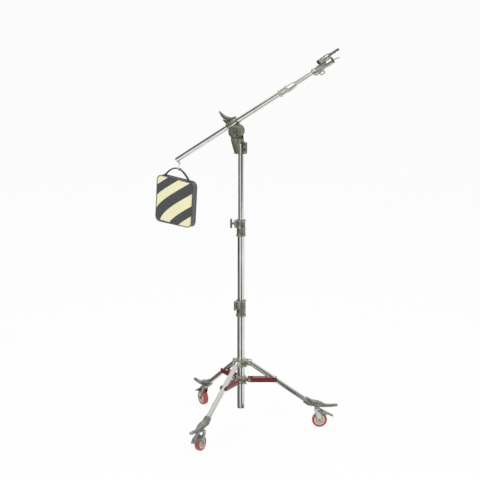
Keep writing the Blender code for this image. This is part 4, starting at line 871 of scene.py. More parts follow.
@dataclass
class Studio:
    """The camera at the photograph's viewpoint, soft light, a pale floor, and grey cards for the chrome."""

    camera_height: float = 3.24
    camera_distance: float = 9.0
    pitch: float = 14.2
    focal_pixels: float = 1900.0
    picture_pixels: float = 480.0
    centre_pixel: float = 241.0
    sensor: float = 36.0
    aim_height: float = 0.9
    lamps: tuple[tuple, ...] = (("key_lamp", (-2.6, -3.6, 3.6), 2.2, 88.0),
                                ("fill_lamp", (3.4, -3.0, 2.2), 2.6, 44.0),
                                ("top_lamp", (0.4, 1.6, 4.4), 2.4, 30.0))
    cards: tuple[tuple, ...] = (("card_front", (0.3, 0.004), (3.0, 0.004), (268.0, 301.0), 0.03),
                                ("card_front_far", (3.0, 0.004), (7.5, 0.004), (268.0, 295.0), 0.05),
                                ("card_left_rear", (0.3, 0.004), (3.0, 0.004), (130.0, 224.0), 0.16),
                                ("card_left_far", (3.0, 0.004), (7.5, 0.004), (130.0, 223.0), 0.1),
                                ("card_left_near", (0.1, 0.004), (0.34, 0.004), (196.0, 254.0), 0.06),
                                ("card_right_near", (0.1, 0.004), (0.34, 0.004), (291.0, 352.0), 0.06),
                                ("screen_left_rear", (4.0, 1.7), (4.0, 4.3), (136.0, 222.0), 0.15),
                                ("screen_right", (3.0, 0.45), (3.0, 3.2), (266.0, 340.0), 0.13))

    def camera(self, datum: Datum) -> None:
        """Set the camera up opposite the column's axis.

        Args:
            datum: Gives the column's axis.
        """
        data = bpy.data.cameras.new("camera")
        data.sensor_width = self.sensor
        data.lens = self.sensor * self.focal_pixels / self.picture_pixels
        data.shift_x = -(self.centre_pixel - self.picture_pixels / 2) / self.picture_pixels
        data.clip_end = 200.0
        camera = Bench.stand("camera", data)
        camera.location = datum.axis + Vector((0, -self.camera_distance, self.camera_height))
        camera.rotation_euler = (math.radians(90.0 - self.pitch), 0, 0)
        bpy.context.scene.camera = camera

    def world(self) -> None:
        """A world that shows white and lights the object evenly."""
        world = bpy.data.worlds.new("studio")
        bpy.context.scene.world = world
        tree = Tree(world)
        rays = tree.put("ShaderNodeLightPath").outputs
        seen = tree.math("MAXIMUM", rays["Is Camera Ray"], rays["Is Transmission Ray"])
        shiny = tree.math("MAXIMUM", seen, rays["Is Glossy Ray"])
        background = tree.tree.nodes["Background"]
        tree.feed(background.inputs["Color"], WHITE)
        tree.feed(background.inputs["Strength"], tree.math("MULTIPLY_ADD", shiny, 0.3, 0.7))

    def lamp(self, name: str, location: tuple[float, float, float], size: float, power: float) -> None:
        """A square soft lamp that looks at the middle of the stand.

        Args:
            name: The lamp's name.
            location: Where it stands.
            size: Its side.
            power: Its power in watts.
        """
        data = bpy.data.lights.new(name, "AREA")
        data.size = size
        data.energy = power
        lamp = Bench.stand(name, data)
        lamp.location = location
        aim = Vector((0, 0, self.aim_height)) - Vector(location)
        lamp.rotation_euler = aim.to_track_quat("-Z", "Y").to_euler()

    def floor(self) -> None:
        """A pale floor that keeps a soft shadow."""
        bm = bmesh.new()
        bmesh.ops.create_grid(bm, x_segments=4, y_segments=4, size=40.0)
        floor = Bench.stand("floor", Bench.mesh(bm, "floor"))
        paint = Canvas("pale_floor")
        rays = paint.put("ShaderNodeLightPath").outputs
        seen = paint.math("MAXIMUM", rays["Is Camera Ray"], rays["Is Glossy Ray"])
        glow = paint.put("ShaderNodeEmission", Color=WHITE).outputs[0]
        blend = paint.put("ShaderNodeMixShader", i0=paint.math("MULTIPLY", seen, 0.9),
                          i1=paint.shader.outputs[0], i2=glow)
        paint.show(blend.outputs[0])
        floor.data.materials.append(paint.finish(Base_Color=(0.92, 0.92, 0.92, 1.0), Roughness=0.9))

    def card(self, name: str, start: tuple[float, float], end: tuple[float, float], arc: tuple[float, float],
             light: float) -> None:
        """Turn a line about Z into a card that only reflections see, as is used to draw edges on chrome.

        Args:
            name: The card's name.
            start: One end of the line, as (radius, height).
            end: Its other end.
            arc: Azimuths where the card starts and ends, in degrees from +X.
            light: How bright it looks in a reflection.
        """
        bm = bmesh.new()
        first, second = (bm.verts.new((radius, 0.0, height)) for radius, height in (start, end))
        edge = bm.edges.new((first, second))
        bmesh.ops.rotate(bm, verts=bm.verts, cent=(0, 0, 0), matrix=axis_turn("Z", arc[0]).to_3x3())
        bmesh.ops.spin(bm, geom=[first, second, edge], cent=(0, 0, 0), axis=(0, 0, 1),
                       angle=math.radians(arc[1] - arc[0]), steps=16, use_merge=False)
        paint = Canvas(name)
        paint.show(paint.put("ShaderNodeEmission", Color=(light, light, light * 0.98, 1.0)).outputs[0])
        card = Bench.stand(name, Bench.mesh(bm, name))
        card.data.materials.append(paint.material)
        for ray in ("camera", "diffuse", "transmission", "shadow", "volume_scatter"):
            setattr(card, f"visible_{ray}", False)

    def build(self, datum: Datum) -> None:
        """Build the whole studio."""
        bpy.context.scene.view_settings.view_transform = "Standard"
        self.camera(datum)
        self.world()
        for lamp in self.lamps:
            self.lamp(*lamp)
        self.floor()
        for card in self.cards:
            self.card(*card)


@dataclass
class Column:
    """Three nested tubes with their locking collars and T-handles."""

    datum: Datum
    radii: tuple[float, float, float] = (0.019, 0.0172, 0.014)
    bottoms: tuple[float, float, float] = (0.1, 0.428, 0.782)
    wall: float = 0.0015
    bush_radius: float = 0.0154
    bush_length: float = 0.03
    sleeve: float = 0.045
    head: float = 0.037
    azimuths: tuple[float, float] = (233.0, 180.0)
    block_half: float = 0.011
    block_reach: float = 0.015
    handle_half: float = 0.0245

    def tube(self, index: int, name: str, body: str) -> None:
        """One column tube with turned-off rims.

        Args:
            index: Which stage, from the bottom.
            name: The solid that it stands for.
            body: The body that it rides on.
        """
        outer, inner = self.radii[index], self.radii[index] - self.wall
        low, high = self.bottoms[index], self.datum.stage_tops[index]
        rim = 0.0005
        profile = [(inner, high - rim), (inner, low + rim), (inner + rim, low), (outer - rim, low),
                   (outer, low + rim)]
        if index == 2:
            foot = low + self.bush_length
            profile = [(inner, high), (inner, low), (self.bush_radius, low), (self.bush_radius, foot),
                       (outer, foot)]
        profile += [(outer, high - rim), (outer - rim, high), (inner + rim, high)]
        bm = Bench.lathe(profile, self.datum.column(), 72)
        Bench.release(bm, f"{name}_plated", body, CHROME, "chrome_tube", [name])

    def collar(self, index: int, name: str, body: str) -> None:
        """A locking collar: turned sleeve with beads, milled block with a boss, rubber bush and two rivets.

        Args:
            index: 0 for the lower collar and 1 for the upper one.
            name: The solid that it stands for.
            body: The body that it rides on.
        """
        tube, rising = self.radii[index], self.radii[index + 1]
        shoulder = self.datum.stage_tops[index]
        low, high = shoulder - self.sleeve, shoulder + self.head
        body_r, flange = tube + 0.004, tube + 0.0065
        bore, throat = tube + 0.0003, rising + 0.0003
        profile = [(bore, low), (flange - 0.001, low), (flange, low + 0.001), (flange, low + 0.007),
                   (flange - 0.001, low + 0.008), (body_r + 0.0004, low + 0.0084), (body_r, low + 0.0095),
                   (body_r, shoulder - 0.006), (body_r + 0.0012, shoulder - 0.0045),
                   (body_r + 0.0012, shoulder - 0.0015), (body_r, shoulder), (body_r, high - 0.0095),
                   (body_r + 0.0004, high - 0.0084), (flange - 0.001, high - 0.008), (flange, high - 0.007),
                   (flange, high - 0.001), (flange - 0.001, high), (throat + 0.001, high),
                   (throat, high - 0.001), (throat, shoulder + 0.0003), (bore, shoulder + 0.0003)]
        sleeve = Bench.lathe(profile, self.datum.column(), 64)
        turn = self.datum.column() @ axis_turn("Z", self.azimuths[index])
        half, reach = self.block_half, tube + self.block_reach
        start = math.sqrt(body_r ** 2 - half ** 2) - 0.001
        middle = (shoulder + high) / 2 - 0.0015
        tall = (high - shoulder + 0.001) / 2
        outline = [(start, middle - tall), (reach, middle - tall), (reach, middle + tall),
                   (start, middle + tall)]
        block = Bench.slab(outline, -half, half, turn, 0.0014, 3)
        boss = Bench.band(0.0044, 0.0075, reach - 0.002, reach,
                          turn @ place(0, 0, shoulder + self.head / 2) @ ALONG_X, 32)
        Bench.release(Bench.gather(sleeve, block, boss), f"{name}_cast", body, CASTING, "casting", [name])
        bush = Bench.lathe([(throat, high - 0.0004), (throat + 0.0022, high - 0.0004),
                            (throat + 0.0022, high + 0.0008), (throat + 0.0016, high + 0.0014),
                            (throat, high + 0.0014)], self.datum.column(), 64)
        Bench.release(bush, f"{name}_bush", body, BLACK, "black_rubber")
        rear = self.datum.column() @ axis_turn("Z", self.azimuths[index] + 180.0)
        rivets = Bench.studs([(0, body_r - 0.0005), (0.0024, body_r - 0.0005), (0.0022, body_r + 0.001),
                              (0.0012, body_r + 0.0016), (0, body_r + 0.0018)],
                             [rear @ place(0, 0, z) @ ALONG_X for z in (low + 0.017, low + 0.03)], 20)
        Bench.release(rivets, f"{name}_rivets", body, ZINC, "bolt_steel")

    def handle(self, index: int, name: str, body: str) -> None:
        """A T-handle screw: shank, boss, neck and a round bar with domed ends.

        Args:
            index: 0 for the lower handle and 1 for the upper one.
            name: The solid that it stands for.
            body: The body that it rides on.
        """
        tube, rising = self.radii[index], self.radii[index + 1]
        height = self.datum.stage_tops[index] + self.head / 2
        turn = self.datum.column() @ axis_turn("Z", self.azimuths[index]) @ place(0, 0, height)
        seat = tube + self.block_reach + 0.0003
        bar, radius, half = seat + 0.0155, 0.0055, self.handle_half
        screw = Bench.lathe([(0, rising + 0.0003), (0.0034, rising + 0.0003), (0.004, rising + 0.001),
                             (0.004, seat), (0.0072, seat), (0.008, seat + 0.0008), (0.008, seat + 0.005),
                             (0.007, seat + 0.006), (0.0048, seat + 0.0066), (0.0045, seat + 0.01),
                             (0.006, bar), (0, bar)], turn @ ALONG_X, 40)
        ends = [(0, -half), (0.0026, -half + 0.0004), (0.0046, -half + 0.002), (radius, -half + 0.0045),
                (radius - 0.0006, -0.009), (radius - 0.0004, 0.0), (radius - 0.0006, 0.009),
                (radius, half - 0.0045), (0.0046, half - 0.002), (0.0026, half - 0.0004), (0, half)]
        grip = Bench.lathe(ends, turn @ place(bar, 0, 0), 36)
        Bench.release(Bench.gather(screw, grip), f"{name}_cast", body, HANDLE, "handle_metal", [name])

    def build(self) -> None:
        """Build the column."""
        for index, (stage, body) in enumerate((("lower", Body.BASE), ("middle", Body.MIDDLE),
                                               ("top", Body.TOP))):
            self.tube(index, f"column_tube_{stage}", body.of())
        self.collar(0, "collar_lower", Body.BASE.of())
        self.collar(1, "collar_upper", Body.MIDDLE.of())
        self.handle(0, "collar_handle_lower", Body.HANDLE_LOW.of())
        self.handle(1, "collar_handle_upper", Body.HANDLE_HIGH.of())


@dataclass
class Hubs:
    """The sliding upper hub and the fixed lower hub with their pins and wing screws."""

    datum: Datum
    hub_radius: float = 0.0243
    screw_azimuth: float = 300.0
    ear_outer: float = 0.0168
    cheek_outer: float = 0.0158
    pin_radius: float = 0.004

    def pin(self, name: str, matrix: Matrix, body: str, reach: float) -> None:
        """A hexagon bolt with a locknut and two washers through a pair of ears.

        Args:
            name: The solid that it stands for.
            matrix: Frame at the middle of the bolt, with Y along it.
            body: The body that it rides on.
            reach: Half of the span that it clamps.
        """
        along = matrix @ ALONG_Y
        r = self.pin_radius
        shank = Bench.lathe([(0, -reach - 0.002), (r, -reach - 0.002), (r, reach + 0.0048),
                             (r - 0.0008, reach + 0.0053), (0, reach + 0.0053)], along, 28)
        washers = [Bench.band(r, 0.0069, low, low + 0.0009, along, 32) for low in (-reach - 0.0009, reach)]
        head = Bench.hexagon(0.0068, -reach - 0.0053, -reach - 0.0009, along)
        nut = Bench.hexagon(0.0066, reach + 0.0009, reach + 0.0044, along)
        Bench.release(Bench.gather(shank, *washers, head, nut), f"{name}_bolt", body, HUB_CAST, "bolt_steel",
                      [name])

    def wing_screw(self, name: str, height: float, body: str) -> None:
        """A wing screw that locks a hub on the column.

        Args:
            name: The solid that it stands for.
            height: Height of its axis.
            body: The body that it rides on.
        """
        turn = self.datum.column() @ axis_turn("Z", self.screw_azimuth) @ place(0, 0, height)
        seat = self.hub_radius + 0.0063
        stem = Bench.lathe([(0, 0.0193), (0.004, 0.0193), (0.004, seat), (0.0074, seat),
                            (0.008, seat + 0.0007), (0.0074, seat + 0.0052), (0.006, seat + 0.0062),
                            (0, seat + 0.0066)], turn @ ALONG_X, 36)
        start, end = seat + 0.003, seat + 0.023
        for_one = [(start, 0.0052), (start + 0.004, 0.0068), (end - 0.004, 0.0124), (end - 0.0012, 0.0122),
                   (end, 0.0102), (end - 0.001, 0.0076), (start + 0.012, 0.003), (start + 0.0085, 0.0008),
                   (start, 0.0)]
        wings = [Bench.slab([(x, z * side) for x, z in for_one], -0.0019, 0.0019, turn, 0.0009, 3)
                 for side in (1, -1)]
        Bench.release(Bench.gather(stem, *wings), f"{name}_cast", body, HANDLE, "handle_metal", [name])

    def build(self) -> None:
        """Build both hubs."""
        datum = self.datum
        for node, body in (("upper_hub", Body.HUB), ("lower_hub", Body.BASE)):
            Bench.release(Bench.softened(node, 0.001), f"{node}_cast", body.of(), HUB_CAST, "casting", [node])
        for index, side in enumerate(LEG_NAMES):
            upper = datum.outward(index, datum.pivot_radius, datum.leg_pivot_z())
            lower = datum.outward(index, datum.pivot_radius, datum.brace_z())
            self.pin(f"leg_pin_{side}", upper, Body.HUB.of(), self.ear_outer)
            self.pin(f"brace_pin_{side}", lower, Body.BASE.of(), self.cheek_outer)
        self.wing_screw("upper_hub_screw", datum.leg_pivot_z(), Body.SCREW_HIGH.of())
        self.wing_screw("lower_hub_screw", datum.brace_z(), Body.SCREW_LOW.of())


@dataclass
class Leg:
    """One leg: plated tube, red brace, foot casting and a braked caster."""

    datum: Datum
    index: int
    side: str
    radius: float = 0.0125
    wall: float = 0.002
    socket_wall: float = 0.0045
    socket_depth: float = 0.03
    dome_height: float = 0.121
    lever_height: float = 0.112
    lever_length: float = 0.1025
    boss_bottom: float = 0.0985
    fork_outer: float = 0.0162
    tyre_half: float = 0.0125
    core_radius: float = 0.026

    def tube(self) -> None:
        """The leg's tube with a domed top."""
        r = self.radius
        end = self.datum.leg_to_socket + self.socket_depth - 0.0003
        dome = [(r * math.sin(math.radians(a)), -r * math.cos(math.radians(a))) for a in range(0, 91, 10)]
        profile = dome + [(r, end), (r - self.wall, end), (r - self.wall, 0.03), (0, 0.03)]
        bm = Bench.lathe(profile, self.datum.leg(self.index) @ ALONG_X, 56)
        Bench.release(bm, f"leg_tube_{self.side}_plated", Body.LEG.of(self.side), LEG_CHROME, "chrome_tube",
                      [f"leg_tube_{self.side}"])

    def brace(self) -> None:
        """The red brace with domed rivets at its outer end."""
        node = f"brace_{self.side}"
        Bench.release(Bench.softened(node, 0.0007), f"{node}_enamel", Body.STRUT.of(self.side), ENAMEL,
                      "red_paint", [node])
        end = self.datum.outward(self.index, self.datum.pivot_radius + self.datum.brace_length,
                                 self.datum.brace_z())
        rivets = Bench.studs([(0, 0.015), (0.0053, 0.0156), (0.0055, 0.0172), (0.0046, 0.0186),
                              (0.0026, 0.0194), (0, 0.0196)],
                             [end @ axis_turn("X", angle) for angle in (-90.0, 90.0)], 32)
        Bench.release(rivets, f"{node}_rivets", Body.STRUT.of(self.side), ENAMEL, "red_paint")

    def foot(self) -> None:
        """The foot casting: socket, dome over the swivel and a foot lever, in one smooth body."""
        datum = self.datum
        base = datum.swivel(self.index)
        pivot = place(datum.pivot_radius - datum.stem_radius(), 0, datum.leg_pivot_z())
        along = base @ pivot @ axis_turn("Y", datum.leg_slope)

        mouth, outer = datum.leg_to_socket, self.radius + self.socket_wall
        dome, lever, reach = self.dome_height, self.lever_height, self.lever_length
        inner = self.radius + 0.0004
        sleeve = [(0.012, inner), (0.0012, inner), (0.0, inner + 0.0008), (0.0, outer - 0.0008),
                  (0.0012, outer), (0.006, outer), (0.015, outer + 0.0006), (0.03, outer + 0.0008)]
        body = [(-0.02, dome + 0.003, 0.0185, 0.0166, 18), (-0.009, dome + 0.0018, 0.0188, 0.016, 11),
                (0.0, dome, 0.0185, 0.0155, 9), (0.009, dome - 0.002, 0.0176, 0.0147, 12),
                (0.018, dome - 0.0045, 0.0156, 0.0133, 15), (0.034, lever - 0.0003, 0.0118, 0.0094, 8),
                (0.048, lever - 0.0013, 0.01, 0.0082, 2), (0.066, lever - 0.0013, 0.0088, 0.0077, 0),
                (0.086, lever + 0.0002, 0.0087, 0.0075, -2), (reach - 0.005, lever + 0.0006, 0.0085, 0.0072,
                                                              -2), (reach - 0.0012, lever + 0.0007, 0.0074,
                                                                    0.006, -2),
                (reach, lever + 0.0007, 0.005, 0.004, -2)]
        over, about = axis_turn("Y", 90.0), axis_turn("Z", 90.0)
        sections = [(along @ place(mouth + run, 0, 0) @ over @ about, radius, radius) for run,
                    radius in sleeve]
        sections += [(base @ place(x, 0, z) @ (axis_turn("Y", fall) @ over @ about), half_width, half_height)
                     for x, z, half_width, half_height, fall in body]
        casting = Bench.stack(sections, 32, 0.86)
        boss = Bench.lathe([(0.0054, self.boss_bottom), (0.0118, self.boss_bottom),
                            (0.0125, self.boss_bottom + 0.0008), (0.0125, dome - 0.006),
                            (0.0054, dome - 0.006)], base, 48)
        node = f"foot_casting_{self.side}"
        Bench.release(Bench.gather(casting, boss), f"{node}_cast", Body.LEG.of(self.side), CASTING, "casting",
                      [node])
        seats = [along @ place(mouth + offset, 0, 0) @ axis_turn("X", angle)
                 for angle in (-90.0, 90.0) for offset in (0.01, 0.023)]
        bolts = Bench.studs([(0, 0.0155), (0.0042, 0.0155), (0.0042, 0.0168), (0.0036, 0.0178),
                             (0.0018, 0.0184), (0, 0.0185)], seats, 28)
        Bench.release(bolts, f"{node}_screws", Body.LEG.of(self.side), ZINC, "bolt_steel")
        slot = Bench.slab([(-0.01, dome + 0.0148), (0.008, dome + 0.0122), (0.008, dome + 0.014),
                           (-0.01, dome + 0.0168)], -0.0016, 0.0016, base, 0.0004, 2)
        Bench.release(slot, f"{node}_key", Body.LEG.of(self.side), BLACK, "black_rubber")

    def caster(self) -> None:
        """The caster: pressed fork, ball race, tyre, core with two rings, axle bolt and brake pedal."""
        side, datum = self.side, self.datum
        base, wheel = datum.swivel(self.index), datum.wheel(self.index) @ ALONG_Y
        fork = Bench.softened(f"caster_fork_{side}", 0.0007)
        top = self.boss_bottom - 0.0003
        race = Bench.lathe([(0.0052, top - 0.0032), (0.0135, top - 0.0052), (0.0152, top - 0.0036),
                            (0.0152, top - 0.0012), (0.0132, top - 0.0004), (0.0052, top - 0.0004)], base, 48)
        Bench.release(Bench.gather(fork, race), f"caster_fork_{side}_pressed", Body.CASTER.of(side), FORK,
                      "fork_steel", [f"caster_fork_{side}"])
        half, r = self.tyre_half, datum.wheel_radius
        shoulder = [(0.0263, half - 0.0012), (0.0285, half - 0.0004), (0.03, half), (r - 0.005, half),
                    (r - 0.0026, half - 0.0007), (r - 0.001, half - 0.0022), (r - 0.0002, half - 0.0046),
                    (r, half - 0.0075)]
        profile = shoulder + [(r, 0.0)] + [(radius, -z) for radius, z in reversed(shoulder)]
        Bench.release(Bench.lathe(profile, wheel, 96), f"caster_tyre_{side}_cast", Body.WHEEL.of(side), TYRE,
                      "red_tyre", [f"caster_tyre_{side}"])
        face = [(0.0044, 0.0134), (0.0092, 0.0134), (0.01, 0.0126), (0.0108, 0.0066), (0.0122, 0.006),
                (0.0142, 0.006), (0.0147, 0.0072), (0.0158, 0.0072), (0.0163, 0.006), (0.0198, 0.006),
                (0.0206, 0.007), (0.0214, 0.0108), (0.0222, 0.0115), (self.core_radius, 0.0115)]
        core = face + [(radius, -z) for radius, z in reversed(face)]
        rings = [Bench.band(0.0149, 0.0162, 0.0066, 0.008, wheel @ axis_turn("X", angle), 60)
                 for angle in (0.0, 180.0)]
        Bench.release(Bench.gather(*rings), f"caster_core_{side}_ring", Body.WHEEL.of(side), RING_NYLON,
                      "cream_plastic")
        Bench.release(Bench.lathe(core, wheel, 80), f"caster_core_{side}_moulded", Body.WHEEL.of(side), CREAM,
                      "cream_plastic", [f"caster_core_{side}"])
        reach = self.fork_outer
        shank = Bench.lathe([(0, -reach - 0.001), (0.004, -reach - 0.001), (0.004, reach + 0.0045),
                             (0, reach + 0.0045)], wheel, 28)
        washers = [Bench.band(0.004, 0.0064, low, low + 0.0008, wheel, 32)
                   for low in (-reach - 0.0011, reach + 0.0003)]
        head = Bench.hexagon(0.0062, -reach - 0.0043, -reach - 0.0011, wheel)
        nut = Bench.hexagon(0.0062, reach + 0.0011, reach + 0.0042, wheel)
        Bench.release(Bench.gather(shank, *washers, head, nut), f"caster_axle_{side}_bolt",
                      Body.CASTER.of(side), GREEN_ZINC, "bolt_steel", [f"caster_axle_{side}"])
        self.pedal()

    def pedal(self) -> None:
        """The brake pedal with raised grip ribs."""
        node = f"brake_pedal_{self.side}"
        frame = self.datum.pedal(self.index)
        ribs = [Bench.slab([(x, 0.0042), (x + 0.0016, 0.0042), (x + 0.0012, 0.0053), (x + 0.0004, 0.0053)],
                           -0.01, 0.01, frame, 0.0, 1) for x in (0.058, 0.063, 0.068, 0.073)]
        Bench.release(Bench.gather(Bench.softened(node, 0.0006), *ribs), f"{node}_pressed",
                      Body.PEDAL.of(self.side), PEDAL, "pedal_steel", [node])

    def build(self) -> None:
        """Build the leg."""
        self.tube()
        self.brace()
        self.foot()
        self.caster()


@dataclass
class Head:
    """The clamped receiver, the tilting jaw with its cap, and the wing handle."""

    datum: Datum
    bolt_x: float = 0.0228
    lug_start: float = 0.02
    lug_share: float = 0.66
    neck_half: float = 0.022
    cheek_half: float = 0.025
    bolt_half: float = 0.013
    pin_half: float = 0.025
    wing_x: float = -0.002
    wing_rise: float = 0.0285
    wing_lean: float = 41.5
    wing_half_width: float = 0.0062

    def bolt(self, name: str, height: float) -> None:
        """A socket screw with a nut that closes the receiver's clamp.

        Args:
            name: The solid that it stands for.
            height: Height of its axis.
        """
        along = self.datum.head() @ place(self.bolt_x, 0, height) @ ALONG_Y
        reach = self.bolt_half + 0.0003
        shank = Bench.lathe([(0, -reach - 0.001), (0.003, -reach - 0.001), (0.003, reach + 0.0038),
                             (0, reach + 0.0038)], along, 24)
        low = -reach - 0.004
        head = Bench.lathe([(0, low + 0.0018), (0.0021, low + 0.0018), (0.0023, low), (0.0046, low),
                            (0.005, low + 0.0005), (0.005, -reach), (0, -reach)], along, 36)
        nut = Bench.hexagon(0.005, reach, reach + 0.0034, along)
        Bench.release(Bench.gather(shank, head, nut), f"{name}_steel", Body.HEAD.of(), PIN_STEEL,
                      "bolt_steel", [name])

    def wing_frame(self) -> Matrix:
        """Frame on the wing handle's axis, with Z along it."""
        rise = self.datum.boom_rise + self.wing_rise
        return self.datum.tilt() @ place(self.wing_x, 0, rise) @ axis_turn("Y", self.wing_lean)

    def wing(self) -> None:
        """The wing handle: two swept horns of unlike length on a turned hub."""
        frame = self.wing_frame()

        rows = [(-0.054, 0.031, 0.0012, 38), (-0.053, 0.03, 0.0027, 38), (-0.05, 0.027, 0.0039, 39),
                (-0.0455, 0.0225, 0.0051, 39), (-0.037, 0.0147, 0.0074, 34), (-0.0305, 0.0104, 0.0085, 27),
                (-0.024, 0.0072, 0.009, 18), (-0.017, 0.0057, 0.0087, 11), (-0.01, 0.0048, 0.0082, 6),
                (0.0, 0.0043, 0.0077, 0), (0.007, 0.0046, 0.0073, -8), (0.015, 0.007, 0.0062, -20),
                (0.022, 0.0106, 0.0053, -29), (0.028, 0.0151, 0.0045, -36), (0.0325, 0.0194, 0.0036, -40),
                (0.0345, 0.0215, 0.0026, -40), (0.0352, 0.0222, 0.0012, -40)]
        sections = []
        for x, z, radius, slope in rows:
            turn = axis_turn("Y", slope) @ axis_turn("Y", 90.0) @ axis_turn("Z", 90.0)
            sections.append((frame @ place(x, 0, z) @ turn, min(radius * 0.9, self.wing_half_width), radius))
        horns = Bench.stack(sections, 28)
        hub = Bench.lathe([(0, -0.014), (0.0036, -0.014), (0.004, -0.0135), (0.004, -0.004), (0.0084, -0.004),
                           (0.009, -0.0032), (0.009, 0.004), (0.0084, 0.0056), (0.0052, 0.0112),
                           (0.0034, 0.012), (0, 0.0122)], frame, 44)
        Bench.release(Bench.gather(hub, horns), "wing_handle_cast", Body.WING.of(), WING_CAST, "handle_metal",
                      ["wing_handle"])

    def tilt_pin(self) -> None:
        """The large headed pin that the boom tilts on, with a turned recess."""
        centre = self.datum.head() @ place(self.datum.tilt_x, 0,
                                           self.datum.stage_tops[2] + self.datum.tilt_rise)
        along = centre @ ALONG_Y
        reach = self.pin_half + 0.0003
        profile = [(0, -reach - 0.003), (0.0042, -reach - 0.003), (0.0048, -reach - 0.0034),
                   (0.009, -reach - 0.0034), (0.01, -reach - 0.0028), (0.01, -reach), (0.005, -reach),
                   (0.005, reach), (0.01, reach), (0.01, reach + 0.003), (0.0088, reach + 0.0042),
                   (0.005, reach + 0.0048), (0, reach + 0.005)]
        Bench.release(Bench.lathe(profile, along, 56), "tilt_pin_steel", Body.HEAD.of(), RECEIVER,
                      "bolt_steel", ["tilt_pin"])

    def receiver(self) -> None:
        """The receiver casting, with shallow pieces: a plated strip in its window whose bright face is a
        painted highlight, near-black pieces that paint the shade in a slit and a hole, and a rivet.
        """
        head = self.datum.head()
        bm = Bench.softened("head_receiver", 0.0012)
        bmesh.ops.transform(bm, matrix=head.inverted(), verts=bm.verts)
        for vert in bm.verts:
            vert.co.x = min(vert.co.x, self.lug_start + (vert.co.x - self.lug_start) * self.lug_share)
        bmesh.ops.transform(bm, matrix=head, verts=bm.verts)
        Bench.release(bm, "head_receiver_cast", Body.HEAD.of(), RECEIVER, "casting", ["head_receiver"])
        top = self.datum.stage_tops[2]
        low, high, half = top - 0.046, top + 0.0035, 0.0037
        # A plated strip in the window stands in for the column tube seen through it; its bright face is a
        # painted highlight.
        window = Bench.slab([(-half, low), (half, low), (half, high), (-half, high)], -0.0032, 0.0,
                            head @ place(0.0058, -self.neck_half + 0.0018, 0) @ axis_turn("Z", 12.0), 0.0008,
                            3)
        Bench.release(window, "head_receiver_window_highlight", Body.HEAD.of(), COLLAR_PLATE, "chrome_tube")
        # The slit and the hole are near-black pieces on the casting: painted shade where a recess would be.
        low, high, half = top + 0.005, top + 0.03, 0.0026
        slit = Bench.slab([(-half * 0.6, low), (half, low), (half * 0.6, high), (-half * 0.6, high)], -0.0012,
                          0.002, head @ place(-0.0079, -self.neck_half, 0), 0.0002, 1)
        hole = Bench.lathe([(0, -0.001), (0.0036, -0.001), (0.0036, 0.0012), (0, 0.0012)],
                           head @ place(-0.0105, -self.cheek_half, top + 0.0435) @ axis_turn("X", 90.0), 24)
        Bench.release(Bench.gather(slit, hole), "head_receiver_slit_shade", Body.HEAD.of(), RECESS_SHADE, "casting")
        rivet = Bench.lathe([(0, -0.001), (0.0021, -0.001), (0.0021, 0.0004), (0.0012, 0.0009), (0, 0.0011)],
                            head @ place(-0.0262, -self.cheek_half, top + 0.04) @ axis_turn("X", 90.0), 24)
        Bench.release(rivet, "head_receiver_rivet", Body.HEAD.of(), ZINC, "bolt_steel")

    def jaw_strip(self) -> None:
        """A bright plated strip on the jaw's open side, a painted highlight that stands in for the tube's
        bright side, and a seat that lies hidden in the cap.
        """
        rise = self.datum.boom_rise
        # Bright zinc strip on the jaw's face: painted highlight of the tube inside.
        strip = Bench.slab([(-0.019, rise - 0.0078), (0.031, rise - 0.0078), (0.031, rise - 0.0018),
                            (-0.019, rise - 0.0018)], -0.0246, -0.0225, self.datum.tilt(), 0.0012, 3)
        Bench.release(strip, "boom_jaw_highlight_strip", Body.JAW.of(), FORK, "chrome_tube")
        seat = Bench.slab([(0.0102, -0.014), (0.02, -0.016), (0.0205, 0.0022), (0.0165, 0.0000),
                           (0.0102, -0.0032)], -0.0075, 0.0075, self.wing_frame(), 0.001, 3)
        Bench.release(seat, "jaw_cap_seat", Body.JAW.of(), RECEIVER, "casting")

    def build(self) -> None:
        """Build the head."""
        middle = self.datum.stage_tops[2] - 0.024
        self.receiver()
        self.bolt("head_bolt_upper", middle + 0.013)
        self.bolt("head_bolt_lower", middle - 0.013)
        self.tilt_pin()
        for node in ("boom_jaw", "jaw_cap"):
            Bench.release(Bench.softened(node, 0.001), f"{node}_cast", Body.JAW.of(), RECEIVER, "casting",
                          [node])
        self.jaw_strip()
        self.wing()


